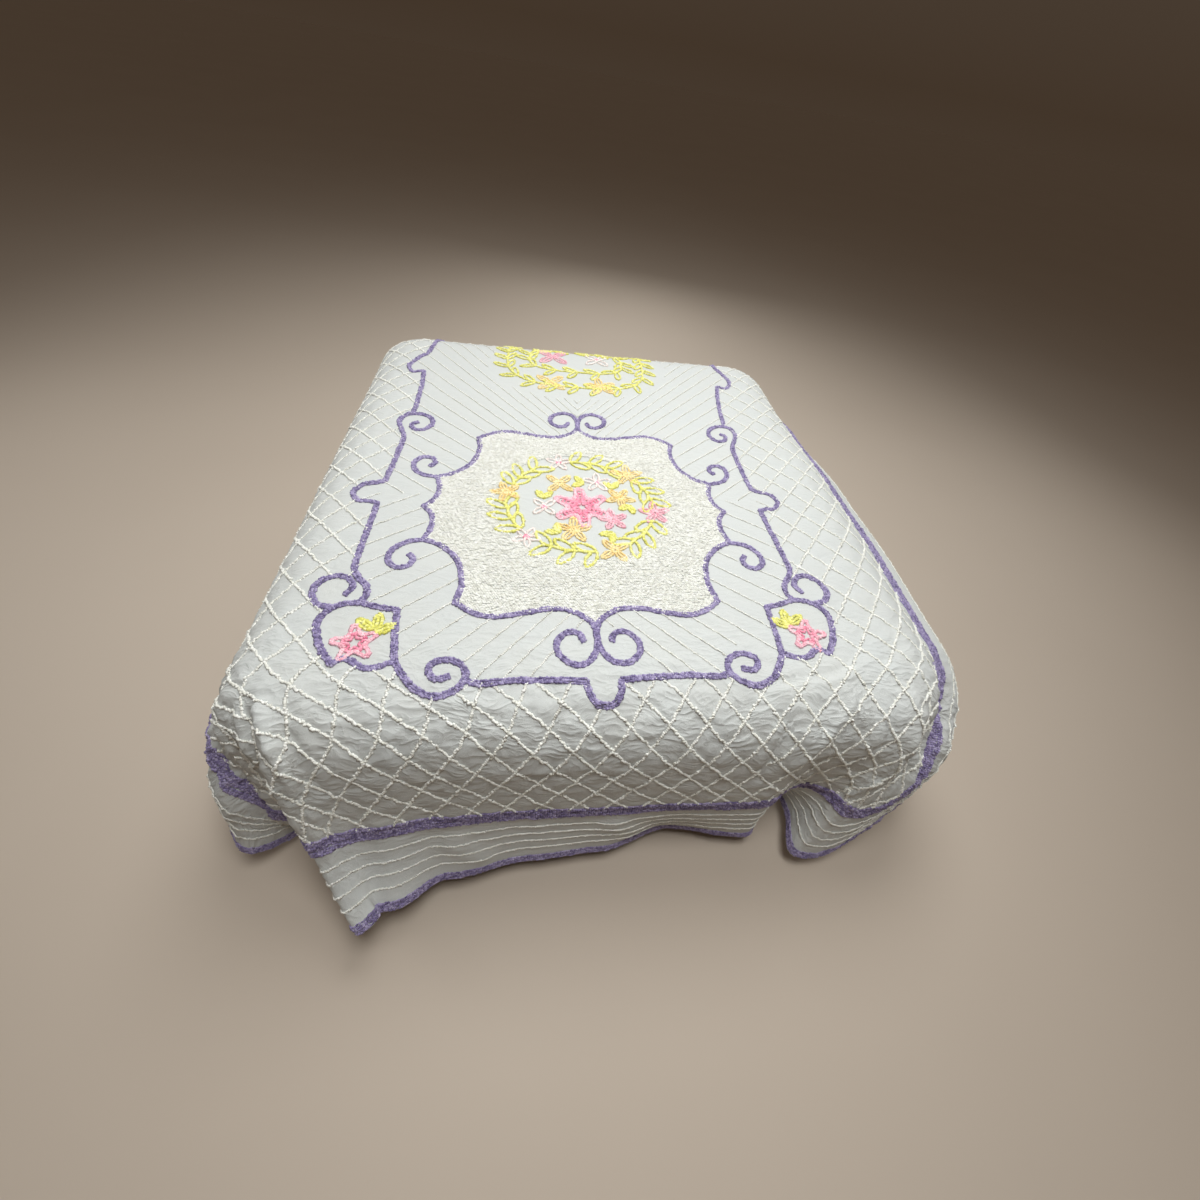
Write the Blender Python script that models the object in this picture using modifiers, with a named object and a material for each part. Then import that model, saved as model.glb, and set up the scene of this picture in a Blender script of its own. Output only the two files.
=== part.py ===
"""A chenille bedspread on a plain king-size bed, for Blender 4.5.

Metres, +Z up. The origin is the middle of the bed base's underside, on the floor. +X is the side on the
right hand of someone who stands at the foot, and +Y runs from the foot to the head.

The bedspread is one cut sheet. Every point of it is named by its place on the flat cloth, across and
along from the middle of its medallion. drape() bends that flat cloth over the bed: it lies flat inside
the core rectangle, and from the core's rim it turns down and hangs, with a slope, a flare and a sideways
swing that the table of stations gives all the way round.
"""

from collections import namedtuple
from math import radians

import bmesh
import bpy
import numpy as np

# The bed, under the cloth. BED_TOP is the height of the cloth that lies on it.
MATTRESS_WIDTH, MATTRESS_LENGTH, MATTRESS_DEPTH = 1.76, 1.96, 0.36
MATTRESS_CORNER, MATTRESS_EDGE = 0.30, 0.175
BASE_WIDTH, BASE_LENGTH = 1.66, 1.83
BASE_CORNER, BASE_EDGE = 0.12, 0.012
CORNER_SEGMENTS, EDGE_SEGMENTS = 5, 5
TOUCHING_GAP = 0.0003
BED_TOP = 0.72

# The flat cloth, from the middle of the medallion: across to the right, along towards the head.
HALF_WIDTH = 1.355
FOOT_HEM, HEAD_HEM = -1.362, 1.640
FOOT_CORNER_ROUND = 0.38
CLOTH_THICKNESS = 0.003
MATTRESS_TOP = BED_TOP - CLOTH_THICKNESS / 2 - TOUCHING_GAP

# Where the medallion's middle lies on the bed: the spread was thrown on a little to the left.
MEDALLION_X, MEDALLION_Y = -0.058, -0.252

# The core rectangle of the cloth, which lies flat. Its right edge draws in towards the head.
CORE_LEFT, CORE_RIGHT = -0.70, 0.82
CORE_FOOT, CORE_HEAD = -0.56, 1.06
TAPER, TAPER_START, TAPER_RUN = 0.05, 0.2, 0.8

# Outside the core, reach is the distance of cloth gone over since its rim. The cloth has the slope for its
# band from the end of the roll to BAND_REACH, and from there it eases into the slope for its hem.
BAND_REACH, HEM_REACH = 0.44, 0.80
SWING_START, SWING_MOST, SWING_POWER = 0.10, 1.3, 1.5
# Half the width of the ledge that the flare makes.
SHELF_WIDTH = 0.070
# Near the floor the cloth levels out and runs along it.
FLOOR_CLEARANCE, FLOOR_EASE = 0.03, 0.10
DRAPE_STEPS = 32
# How much of the rim's length each corner of the core counts for, when stations are eased into each other.
CORNER_RUN = 0.6

# How the cloth hangs, station by station round the core. edge and place say where: metres from the medallion
# along a straight edge, degrees from the side at a corner. roll is the length of cloth that turns down,
# band and hem are slopes in degrees (90 is plumb, less flares out, more tucks in), and swing is how far the
# hem turns along the rim, in degrees. flare is how many degrees flatter the cloth gets round its shelf, which
# is a reach: that is where the skirt stands out.
Station = namedtuple("Station", "edge place roll band hem swing flare shelf")
STATIONS = [
    Station("left", 0.80, 0.34, 84, 86, 0, 0, 0.42),
    Station("left", 0.20, 0.34, 84, 86, 0, 0, 0.42),
    Station("left", -0.30, 0.338, 87, 119, 14, 24, 0.385),
    Station("foot_left", 12, 0.289, 69, 83, 26, 16, 0.333),
    Station("foot_left", 32, 0.376, 83, 71, 18, 42, 0.483),
    Station("foot_left", 48, 0.311, 76, 121, 9, 27, 0.62),
    Station("foot_left", 64, 0.34, 88, 116, 30, 0, 0.58),
    Station("foot_left", 80, 0.36, 67, 33, 22, 0, 0.56),
    Station("foot", -0.58, 0.36, 73, 38, 6, 0, 0.55),
    Station("foot", -0.40, 0.36, 77, 58, 2, 0, 0.55),
    Station("foot", -0.15, 0.36, 79, 68, 0, 0, 0.55),
    Station("foot", 0.05, 0.36, 79, 74, 3, 0, 0.55),
    Station("foot", 0.22, 0.36, 79, 92, 14, 0, 0.55),
    Station("foot", 0.50, 0.36, 79, 80, 12, 0, 0.55),
    Station("foot", 0.70, 0.35, 88, 116, 0, 0, 0.50),
    Station("foot_right", 74, 0.36, 76, 68, -28, 0, 0.45),
    Station("foot_right", 50, 0.33, 84, 76, -26, 44, 0.37),
    Station("foot_right", 25, 0.335, 84, 86, -18, 62, 0.345),
    Station("right", -0.45, 0.41, 74, 82, -8, 50, 0.32),
    Station("right", -0.10, 0.415, 75, 84, 0, 50, 0.32),
    Station("right", 0.30, 0.385, 77, 86, 0, 54, 0.32),
    Station("right", 0.80, 0.37, 80, 86, 0, 56, 0.33),
    Station("head_right", 45, 0.38, 84, 86, 0, 0, 0.36),
    Station("head", 0.00, 0.36, 86, 88, 0, 0, 0.40),
    Station("head_left", 45, 0.36, 84, 86, 0, 0, 0.42),
]

# The grid that carries the sheet: wide cells on the flat top, narrow ones where the cloth turns and folds.
TOP_CELL, FOOT_CELL, RIM_CELL = 0.14, 0.09, 0.048


def ease(value):
    """0 to 1, with no slope at either end."""
    value = np.clip(value, 0.0, 1.0)
    return value * value * (3.0 - 2.0 * value)


def rim_starts():
    """Each edge's and corner's start, as a distance round the core's rim from the head of its left edge."""
    width, length = CORE_RIGHT - CORE_LEFT, CORE_HEAD - CORE_FOOT
    runs = [
        ("left", length),
        ("foot_left", CORNER_RUN),
        ("foot", width),
        ("foot_right", CORNER_RUN),
        ("right", length),
        ("head_right", CORNER_RUN),
        ("head", width),
        ("head_left", CORNER_RUN),
    ]
    starts, reached = {}, 0.0
    for edge, run in runs:
        starts[edge] = reached
        reached += run
    return starts, reached


RIM, RIM_LENGTH = rim_starts()


def station_on_rim(station):
    """The station's distance round the rim."""
    place = station.place
    along_edge = {
        "left": CORE_HEAD - place,
        "foot_left": CORNER_RUN * place / 90,
        "foot": place - CORE_LEFT,
        "foot_right": CORNER_RUN * (90 - place) / 90,
        "right": place - CORE_FOOT,
        "head_right": CORNER_RUN * place / 90,
        "head": CORE_RIGHT - place,
        "head_left": CORNER_RUN * (90 - place) / 90,
    }
    return RIM[station.edge] + along_edge[station.edge]


def nearest_on_core(across, along):
    """The point of the core rectangle that is nearest to each point of the cloth."""
    core_along = np.clip(along, CORE_FOOT, CORE_HEAD)
    right_edge = CORE_RIGHT - TAPER * ease((core_along - TAPER_START) / TAPER_RUN)
    core_across = np.minimum(np.maximum(across, CORE_LEFT), right_edge)
    return core_across, core_along


def place_on_rim(across, along, core_across, core_along):
    """How far round the rim each point of the cloth hangs from."""
    left, right = across < core_across, across > core_across
    foot, head = along < core_along, along > core_along
    sideways = np.maximum(np.abs(across - core_across), 1e-9)
    turn = CORNER_RUN * np.arctan2(np.abs(along - core_along), sideways) / (np.pi / 2)
    places = [
        (left & foot, RIM["foot_left"] + turn),
        (right & foot, RIM["foot_right"] + CORNER_RUN - turn),
        (right & head, RIM["head_right"] + turn),
        (left & head, RIM["head_left"] + CORNER_RUN - turn),
        (foot, RIM["foot"] + core_across - CORE_LEFT),
        (head, RIM["head"] + np.maximum(CORE_RIGHT - core_across, 0.0)),
        (right, RIM["right"] + core_along - CORE_FOOT),
    ]
    on_left = RIM["left"] + CORE_HEAD - core_along
    return np.select([where for where, _ in places], [value for _, value in places], on_left)


def hang(rim_place):
    """The stations' values at a place on the rim, eased between the stations on each side of it."""
    known = sorted((station_on_rim(station), station[2:]) for station in STATIONS)
    (first_place, first_values), (last_place, last_values) = known[0], known[-1]
    places = [last_place - RIM_LENGTH] + [place for place, _ in known] + [first_place + RIM_LENGTH]
    values = [last_values] + [values for _, values in known] + [first_values]
    places, values = np.array(places), np.array(values, float)
    before = np.clip(np.searchsorted(places, rim_place) - 1, 0, len(places) - 2)
    part = ease((rim_place - places[before]) / (places[before + 1] - places[before]))
    here = values[before] * (1 - part)[..., None] + values[before + 1] * part[..., None]
    roll, band, hem, swing, flare, shelf = np.moveaxis(here, -1, 0)
    return roll, np.radians(band), np.radians(hem), np.radians(swing), np.radians(flare), shelf


def drape(across, along):
    """Where points of the flat cloth lie on the bed, as an array with x, y and z last."""
    core_across, core_along = nearest_on_core(across, along)
    sideways, lengthways = across - core_across, along - core_along
    reach = np.hypot(sideways, lengthways)
    roll, band, hem, swing, flare, shelf = hang(place_on_rim(across, along, core_across, core_along))
    outward, down = np.zeros_like(reach), np.zeros_like(reach)
    for step in range(DRAPE_STEPS):
        gone = reach * (step + 0.5) / DRAPE_STEPS
        slope = band * ease(gone / roll)
        slope += (hem - band) * ease((gone - BAND_REACH) / (HEM_REACH - BAND_REACH))
        slope -= flare * np.exp(-(((gone - shelf) / SHELF_WIDTH) ** 2))
        slope *= np.sqrt(np.clip((BED_TOP - down - FLOOR_CLEARANCE) / FLOOR_EASE, 0.0, 1.0))
        outward += np.cos(slope) * reach / DRAPE_STEPS
        down += np.sin(slope) * reach / DRAPE_STEPS
    swung = np.clip((reach - SWING_START) / (HEM_REACH - SWING_START), 0.0, SWING_MOST)
    turn = swing * swung**SWING_POWER
    unit_x = sideways / np.maximum(reach, 1e-9)
    unit_y = lengthways / np.maximum(reach, 1e-9)
    x = core_across + outward * (unit_x * np.cos(turn) - unit_y * np.sin(turn)) + MEDALLION_X
    y = core_along + outward * (unit_x * np.sin(turn) + unit_y * np.cos(turn)) + MEDALLION_Y
    return np.stack([x, y, BED_TOP - down], -1)


def round_foot_corners(across, along):
    """Draws the two foot corners of the cut rectangle in to a rounded outline."""
    past_side = np.abs(across) - (HALF_WIDTH - FOOT_CORNER_ROUND)
    past_foot = FOOT_HEM + FOOT_CORNER_ROUND - along
    in_corner = (past_side > 0) & (past_foot > 0)
    squeeze = np.maximum(past_side, past_foot) / np.maximum(np.hypot(past_side, past_foot), 1e-9)
    rounded_across = np.sign(across) * (HALF_WIDTH - FOOT_CORNER_ROUND + past_side * squeeze)
    rounded_along = FOOT_HEM + FOOT_CORNER_ROUND - past_foot * squeeze
    return np.where(in_corner, rounded_across, across), np.where(in_corner, rounded_along, along)


def grid_lines(stops_and_cells):
    """Even lines between each stop and the next, with cells about as wide as asked."""
    lines = [stops_and_cells[0][0]]
    for (start, cell), (stop, _) in zip(stops_and_cells, stops_and_cells[1:]):
        count = max(1, round((stop - start) / cell))
        lines += [start + (stop - start) * step / count for step in range(1, count + 1)]
    return np.array(lines)


def material(name, colour, roughness):
    made = bpy.data.materials.new(name)
    made.use_nodes = True
    shader = made.node_tree.nodes["Principled BSDF"]
    shader.inputs["Base Color"].default_value = (*colour, 1.0)
    shader.inputs["Roughness"].default_value = roughness
    shader.inputs["Metallic"].default_value = 0.0
    return made


def add_object(name, mesh_data, collection, finish):
    made = bpy.data.objects.new(name, mesh_data)
    mesh_data.materials.append(finish)
    collection.objects.link(made)
    return made


def bedspread(collection, finish):
    flat_right = CORE_RIGHT - TAPER
    side_stops = [(-HALF_WIDTH, RIM_CELL), (CORE_LEFT, FOOT_CELL), (flat_right, RIM_CELL), (HALF_WIDTH, None)]
    end_stops = [(FOOT_HEM, RIM_CELL), (CORE_FOOT, TOP_CELL), (CORE_HEAD, RIM_CELL), (HEAD_HEM, None)]
    across, along = grid_lines(side_stops), grid_lines(end_stops)
    flat_across, flat_along = round_foot_corners(*np.meshgrid(across, along))
    points = drape(flat_across, flat_along)
    rows, columns = flat_across.shape
    sheet = bmesh.new()
    corners = [[sheet.verts.new(points[row, column]) for column in range(columns)] for row in range(rows)]
    for row in range(rows - 1):
        for column in range(columns - 1):
            near, far = corners[row], corners[row + 1]
            sheet.faces.new((near[column], near[column + 1], far[column + 1], far[column]))
    mesh_data = bpy.data.meshes.new("bedspread")
    sheet.to_mesh(mesh_data)
    sheet.free()
    mesh_data.shade_smooth()
    made = add_object("bedspread", mesh_data, collection, finish)
    thicken = made.modifiers.new("cloth_thickness", "SOLIDIFY")
    thicken.thickness = CLOTH_THICKNESS
    thicken.offset = 0.0
    return made


def rounded_block(name, size, middle, corner, edge, collection, finish):
    """A box whose upright corners and then whose top and bottom edges are rounded."""
    block = bmesh.new()
    bmesh.ops.create_cube(block, size=1.0)
    bmesh.ops.scale(block, vec=size, verts=block.verts)
    bmesh.ops.translate(block, vec=middle, verts=block.verts)
    upright = [side for side in block.edges if abs(side.verts[0].co.z - side.verts[1].co.z) > size[2] / 2]
    bmesh.ops.bevel(block, geom=upright, offset=corner, segments=CORNER_SEGMENTS, profile=0.5, affect="EDGES")
    mesh_data = bpy.data.meshes.new(name)
    block.to_mesh(mesh_data)
    block.free()
    made = add_object(name, mesh_data, collection, finish)
    bevel = made.modifiers.new("rounded_edges", "BEVEL")
    bevel.width = edge
    bevel.segments = EDGE_SEGMENTS
    bevel.limit_method = "ANGLE"
    bevel.angle_limit = radians(60)
    return made


def mattress(collection, finish):
    size = (MATTRESS_WIDTH, MATTRESS_LENGTH, MATTRESS_DEPTH)
    middle = (0.0, 0.0, MATTRESS_TOP - MATTRESS_DEPTH / 2)
    return rounded_block("mattress", size, middle, MATTRESS_CORNER, MATTRESS_EDGE, collection, finish)


def bed_base(collection, finish):
    height = MATTRESS_TOP - MATTRESS_DEPTH - TOUCHING_GAP
    size = (BASE_WIDTH, BASE_LENGTH, height)
    middle = (0.0, 0.0, height / 2)
    return rounded_block("bed_base", size, middle, BASE_CORNER, BASE_EDGE, collection, finish)


def main():
    for old in list(bpy.data.objects):
        bpy.data.objects.remove(old, do_unlink=True)
    collection = bpy.data.collections.new("chenille_bedspread_on_bed")
    bpy.context.scene.collection.children.link(collection)
    bedspread(collection, material("cotton_chenille", (0.86, 0.85, 0.81), 0.95))
    mattress(collection, material("mattress_ticking", (0.74, 0.72, 0.68), 0.85))
    bed_base(collection, material("base_cloth", (0.35, 0.33, 0.31), 0.8))


main()
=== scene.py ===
"""A tufted chenille bedspread draped over a plain bed: folds, tufting, finishes, floor, light and camera.

Metres, +Z up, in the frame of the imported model: +X to the right of someone who stands at the foot, +Y from
the foot to the head. The bedspread is one cut sheet, and everything on it is named by its place on the flat
cloth, across and along from the middle of the medallion. drape() bends that flat cloth over the bed, and
every tufted row is laid on it as a flat line first.
"""

from collections import namedtuple
from math import cos, radians, sin, tau

import bmesh
import bpy
import numpy as np
from mathutils import Matrix, Vector


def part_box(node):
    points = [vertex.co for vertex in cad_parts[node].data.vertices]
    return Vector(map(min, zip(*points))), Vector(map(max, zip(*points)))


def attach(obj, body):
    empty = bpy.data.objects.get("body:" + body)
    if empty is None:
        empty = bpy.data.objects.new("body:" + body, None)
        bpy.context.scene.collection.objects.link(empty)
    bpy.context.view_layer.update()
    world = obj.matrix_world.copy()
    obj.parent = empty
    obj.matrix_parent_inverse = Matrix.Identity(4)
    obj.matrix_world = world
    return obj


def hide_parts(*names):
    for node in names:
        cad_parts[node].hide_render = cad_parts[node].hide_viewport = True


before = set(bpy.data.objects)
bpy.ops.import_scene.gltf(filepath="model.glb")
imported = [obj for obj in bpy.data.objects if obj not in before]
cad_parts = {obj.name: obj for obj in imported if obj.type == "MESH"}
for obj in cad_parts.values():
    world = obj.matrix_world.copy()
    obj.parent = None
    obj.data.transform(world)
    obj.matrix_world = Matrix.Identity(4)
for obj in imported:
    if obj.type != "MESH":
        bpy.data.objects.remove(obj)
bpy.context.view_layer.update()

# ---------------------------------------------------------------- sizes of the bed and the cut cloth

BED_TOP = 0.72
HALF_WIDTH = 1.355
FOOT_HEM, HEAD_HEM = -1.362, 1.640
FOOT_CORNER_ROUND = 0.38
MEDALLION_X, MEDALLION_Y = -0.058, -0.252

CORE_LEFT, CORE_RIGHT = -0.70, 0.82
CORE_FOOT, CORE_HEAD = -0.56, 1.06
TAPER, TAPER_START, TAPER_RUN = 0.05, 0.2, 0.8
BAND_REACH, HEM_REACH = 0.44, 0.80
SWING_START, SWING_MOST, SWING_POWER = 0.10, 1.3, 1.5
SHELF_WIDTH = 0.070
FLOOR_CLEARANCE, FLOOR_EASE = 0.03, 0.10
DRAPE_STEPS = 32
CORNER_RUN = 0.6

# How the cloth hangs, station by station round the flat core: where, the length of the roll, the slopes in
# degrees for the band and for the hem, how far the hem swings along the rim, and the flare: how much flatter
# the cloth gets, in degrees, and the reach where it is flattest.
Station = namedtuple("Station", "edge place roll band hem swing flare shelf")
STATIONS = [
    Station("left", 0.80, 0.34, 84, 86, 0, 0, 0.42),
    Station("left", 0.20, 0.34, 84, 86, 0, 0, 0.42),
    Station("left", -0.30, 0.338, 87, 119, 14, 24, 0.385),
    Station("foot_left", 12, 0.289, 69, 83, 26, 16, 0.333),
    Station("foot_left", 32, 0.376, 83, 71, 18, 42, 0.483),
    Station("foot_left", 48, 0.311, 76, 121, 9, 27, 0.62),
    Station("foot_left", 64, 0.34, 88, 116, 30, 0, 0.58),
    Station("foot_left", 80, 0.36, 67, 33, 22, 0, 0.56),
    Station("foot", -0.58, 0.36, 73, 38, 6, 0, 0.55),
    Station("foot", -0.40, 0.36, 77, 58, 2, 0, 0.55),
    Station("foot", -0.15, 0.36, 79, 68, 0, 0, 0.55),
    Station("foot", 0.05, 0.36, 79, 74, 3, 0, 0.55),
    Station("foot", 0.22, 0.36, 79, 92, 14, 0, 0.55),
    Station("foot", 0.50, 0.36, 79, 80, 12, 0, 0.55),
    Station("foot", 0.70, 0.35, 88, 116, 0, 0, 0.50),
    Station("foot_right", 74, 0.36, 76, 68, -28, 0, 0.45),
    Station("foot_right", 50, 0.33, 84, 76, -26, 44, 0.37),
    Station("foot_right", 25, 0.335, 84, 86, -18, 62, 0.345),
    Station("right", -0.45, 0.41, 74, 82, -8, 50, 0.32),
    Station("right", -0.10, 0.415, 75, 84, 0, 50, 0.32),
    Station("right", 0.30, 0.385, 77, 86, 0, 54, 0.32),
    Station("right", 0.80, 0.37, 80, 86, 0, 56, 0.33),
    Station("head_right", 45, 0.38, 84, 86, 0, 0, 0.36),
    Station("head", 0.00, 0.36, 86, 88, 0, 0, 0.40),
    Station("head_left", 45, 0.36, 84, 86, 0, 0, 0.42),
]

# Creases laid in as lines on the flat cloth: a ridge has a height over 0 and a trough under 0.
Crease = namedtuple("Crease", "line width height")
CREASES = [
    Crease([(-0.766, -0.63), (-0.745, -0.70), (-0.73, -0.756), (-0.714, -0.82), (-0.71, -0.95)], 0.013, 0.016),
    Crease([(-0.818, -0.65), (-0.806, -0.704), (-0.818, -0.76), (-0.834, -0.82), (-0.86, -0.90)], 0.012, 0.012),
    Crease([(-0.786, -0.680), (-0.776, -0.760), (-0.768, -0.880)], 0.016, -0.010),
    Crease([(-0.690, -0.700), (-0.675, -0.800), (-0.655, -0.930)], 0.020, -0.008),
    Crease([(-0.890, -0.700), (-0.940, -0.780), (-0.990, -0.880)], 0.020, 0.009),
    Crease([(0.400, -0.660), (0.550, -0.628), (0.650, -0.616), (0.770, -0.545)], 0.010, -0.007),
    Crease([(0.420, -0.676), (0.550, -0.645), (0.660, -0.634), (0.770, -0.570)], 0.012, 0.006),
    Crease([(0.655, -0.600), (0.682, -0.684), (0.706, -0.750)], 0.010, 0.007),
    Crease([(0.520, -0.700), (0.492, -0.780), (0.470, -0.856), (0.436, -1.020)], 0.015, -0.012),
    Crease([(0.708, -0.660), (0.640, -0.740), (0.575, -0.830), (0.530, -0.940)], 0.016, 0.010),
    Crease([(0.780, -0.660), (0.770, -0.760), (0.745, -0.860)], 0.016, 0.009),
    Crease([(0.850, -0.640), (0.880, -0.740), (0.890, -0.850)], 0.018, 0.009),
    Crease([(0.863, -1.072), (0.882, -0.995), (0.909, -0.930)], 0.016, 0.012),
    Crease([(0.960, -0.560), (1.020, -0.650), (1.060, -0.740)], 0.020, 0.008),
    Crease([(0.180, -0.690), (0.215, -0.770), (0.255, -0.860)], 0.018, 0.005),
    Crease([(-0.080, -0.700), (-0.105, -0.790), (-0.110, -0.880)], 0.018, -0.005),
    Crease([(-0.330, -0.665), (-0.250, -0.700), (-0.160, -0.712)], 0.010, 0.005),
    Crease([(-0.450, -0.680), (-0.475, -0.770), (-0.480, -0.860)], 0.020, 0.005),
    Crease([(-0.640, 0.620), (-0.610, 0.740), (-0.585, 0.860)], 0.012, 0.003),
    Crease([(-0.420, -1.180), (-0.330, -1.270), (-0.250, -1.330)], 0.040, 0.010),
    Crease([(0.050, -1.150), (0.110, -1.240), (0.150, -1.330)], 0.040, 0.010),
]

# Fine puckers, as ridges in layers of smooth noise: the direction they run in, in degrees from across, the
# size of the noise's cells, the height, and a seed.
Pucker = namedtuple("Pucker", "angle wide tall height seed")
PUCKERS = [
    Pucker(4, 0.085, 0.021, 0.0034, 11),
    Pucker(-17, 0.070, 0.026, 0.0026, 12),
    Pucker(31, 0.095, 0.030, 0.0020, 13),
    Pucker(-62, 0.110, 0.034, 0.0014, 14),
]
PUCKER_SHARPNESS = 3
# The noise is known this far to each side of the middle.
NOISE_REACH = 4.0
# A crease rises over the first of these shares of its line and dies out over the last.
CREASE_FADES = (0.25, 0.3)
# The foot side is crumpled most here, and less and less over these runs towards its hem and towards the head.
CRUMPLED_FOOT, CRUMPLED_RUNS = -0.70, (0.44, 0.19)
# How strong the puckers are everywhere, what the foot side adds, and what the sides add past a place across.
CRUMPLE_LEAST, CRUMPLE_MOST, CRUMPLE_OF_FOOT = 0.22, 1.3, 0.95
CRUMPLE_OF_SIDES, CRUMPLED_SIDES, CRUMPLED_SIDE_RUN = 0.25, 0.60, 0.30
# The corners add more: middle, radii and share.
CRUMPLED_CORNERS = [((0.80, -0.75), (0.20, 0.22), 0.5), ((-0.85, -0.75), (0.15, 0.20), 0.3)]
# The cloth stands up softly between the lattice's rows, and a little between the slanted rows.
PUFF_HEIGHT, SLANT_PUFF_HEIGHT, PUFF_WIDTH = 0.0034, 0.0013, 0.017

# ---------------------------------------------------------------- the tufted design

# The design was marked on the cloth a little out of square: how far it is shifted, bent and skewed there.
MARKED_ASIDE, MARKED_BEND, MARKED_BEND_PLACE = -0.012, 0.047, 0.25
MARKED_SKEW, MARKED_SKEW_GROWTH = 0.047, 0.022

# Diamond lattice: a node, and the spacing of the nodes. Low on the foot side the cloth is gathered a little.
LATTICE_NODE, LATTICE_ACROSS, LATTICE_ALONG = (0.030, -0.255), 0.109, 0.1227
LATTICE_ROWS_EACH_WAY = 40
GATHER_START, GATHER_RUN, GATHER_SHARE, GATHER_ASIDE = -0.58, 0.20, 0.13, -0.033
# Slanted rows in the frame, which fan out: each one's place along where it is SLANT_PLACE to the side, and
# its rise. They turn about SLANT_TURN and run no further to the side than SLANTS_REACH.
SLANT_PLACE, SLANT_TURN, SLANTS_REACH = 0.45, 0.06, 0.72
HEADWARD_SLANTS = [(0.449 + 0.0805 * count, 0.92 + 0.06 * max(count, -2)) for count in range(-6, 13)]
FOOTWARD_SLANTS = [(0.030 - 0.079 * count, -0.66 - 0.05 * max(count - 3, 0)) for count in range(-2, 13)]

# Distances in from the cut edge, and the number of lanes of tufts.
HEM_OUTER, HEM_INNER, HEM_LANES = 0.002, 0.027, 5
RIB_PLACES = (0.066, 0.105, 0.144, 0.183)
BAND_OUTER, BAND_INNER, BAND_LANES, BAND_PARTING = 0.229, 0.279, 9, 3
BAND_PARTING_WIDTH = 0.0030
LATTICE_OVER_BAND = 0.009
FRAME_LANES = (-0.0054, 0.0, 0.0054)
PILE_ROW_GAP, PILE_REACH = 0.0060, (0.52, 0.50)

# The medallion's quarter, to the right and headward. Each list is one row, and they meet in corners.
MEDALLION_END = [(0.0, 0.485), (0.012, 0.458), (0.045, 0.43), (0.085, 0.414), (0.14, 0.416), (0.205, 0.43)]
MEDALLION_END += [(0.27, 0.439), (0.325, 0.423), (0.371, 0.389)]
MEDALLION_SIDE = [(0.371, 0.389), (0.359, 0.335), (0.363, 0.285), (0.374, 0.242), (0.397, 0.205)]
MEDALLION_SIDE += [(0.435, 0.171), (0.48, 0.15)]
MEDALLION_WAIST = [(0.48, 0.15), (0.465, 0.09), (0.474, 0.035), (0.502, 0.0)]
SIDE_SCROLL = [(0.48, 0.15), (0.53, 0.163), (0.562, 0.195), (0.566, 0.235), (0.541, 0.262), (0.511, 0.256)]
SIDE_SCROLL += [(0.499, 0.23), (0.513, 0.21)]
CENTRE_SCROLL = [(0.0, 0.485), (0.004, 0.54), (0.03, 0.582), (0.07, 0.588), (0.105, 0.56), (0.107, 0.52)]
CENTRE_SCROLL += [(0.08, 0.492), (0.05, 0.495), (0.037, 0.52)]

# The frame's right half, from the foot.
PENDANT = [(0.0, -0.695), (0.022, -0.69), (0.038, -0.668), (0.045, -0.635)]
FOOT_LINE = [(0.045, -0.635), (0.12, -0.63), (0.22, -0.627), (0.30, -0.633), (0.335, -0.622)]
FOOT_SCROLL = [(0.5, -0.57), (0.474, -0.612), (0.444, -0.643), (0.397, -0.66), (0.352, -0.643)]
FOOT_SCROLL += [(0.333, -0.612), (0.345, -0.583), (0.378, -0.568), (0.41, -0.575), (0.42, -0.597)]
FOOT_SCROLL += [(0.403, -0.617), (0.372, -0.612)]
SHIELD_INNER = [(0.515, -0.412), (0.51, -0.49), (0.5, -0.57)]
SHIELD_HEAD = [(0.515, -0.412), (0.56, -0.404), (0.61, -0.387)]
SHIELD_HEAD_OUTER = [(0.61, -0.387), (0.645, -0.391), (0.672, -0.402)]
SHIELD_OUTER = [(0.672, -0.402), (0.692, -0.428), (0.697, -0.46), (0.686, -0.498), (0.669, -0.535)]
SHIELD_OUTER += [(0.64, -0.573)]
SHIELD_FOOT = [(0.64, -0.573), (0.618, -0.561), (0.597, -0.566), (0.575, -0.582), (0.55, -0.586)]
SHIELD_FOOT += [(0.5, -0.57)]
CORNER_SCROLL = [(0.672, -0.402), (0.712, -0.392), (0.732, -0.358), (0.724, -0.318), (0.69, -0.294)]
CORNER_SCROLL += [(0.655, -0.303), (0.638, -0.332), (0.652, -0.36)]
SIDE_LINE = [(0.61, -0.387), (0.599, -0.36), (0.605, -0.33), (0.632, -0.297), (0.647, -0.265)]
SIDE_LINE += [(0.647, -0.19), (0.643, -0.1), (0.64, 0.01)]
SIDE_PENDANT = [(0.64, 0.01), (0.67, 0.018), (0.70, 0.022), (0.722, 0.06), (0.70, 0.1), (0.665, 0.11)]
SIDE_PENDANT += [(0.64, 0.125)]
UPPER_SCROLL = [(0.64, 0.125), (0.634, 0.2), (0.631, 0.3), (0.632, 0.38), (0.652, 0.435), (0.669, 0.485)]
UPPER_SCROLL += [(0.652, 0.53), (0.608, 0.541), (0.562, 0.515), (0.55, 0.468), (0.576, 0.432)]
UPPER_SCROLL += [(0.61, 0.438), (0.621, 0.468), (0.602, 0.482)]
UPPER_LINE = [(0.632, 0.537), (0.636, 0.64), (0.645, 0.75), (0.656, 0.83), (0.665, 0.885)]
UPPER_PENDANT = [(0.665, 0.885), (0.69, 0.874), (0.713, 0.878), (0.735, 0.93), (0.716, 1.0), (0.688, 1.06)]
UPPER_PENDANT += [(0.684, 1.13), (0.682, 1.24)]
HEAD_LINE = [(0.682, 1.24), (0.66, 1.29), (0.6, 1.3), (0.4, 1.295), (0.2, 1.3), (0.0, 1.3)]

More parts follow.
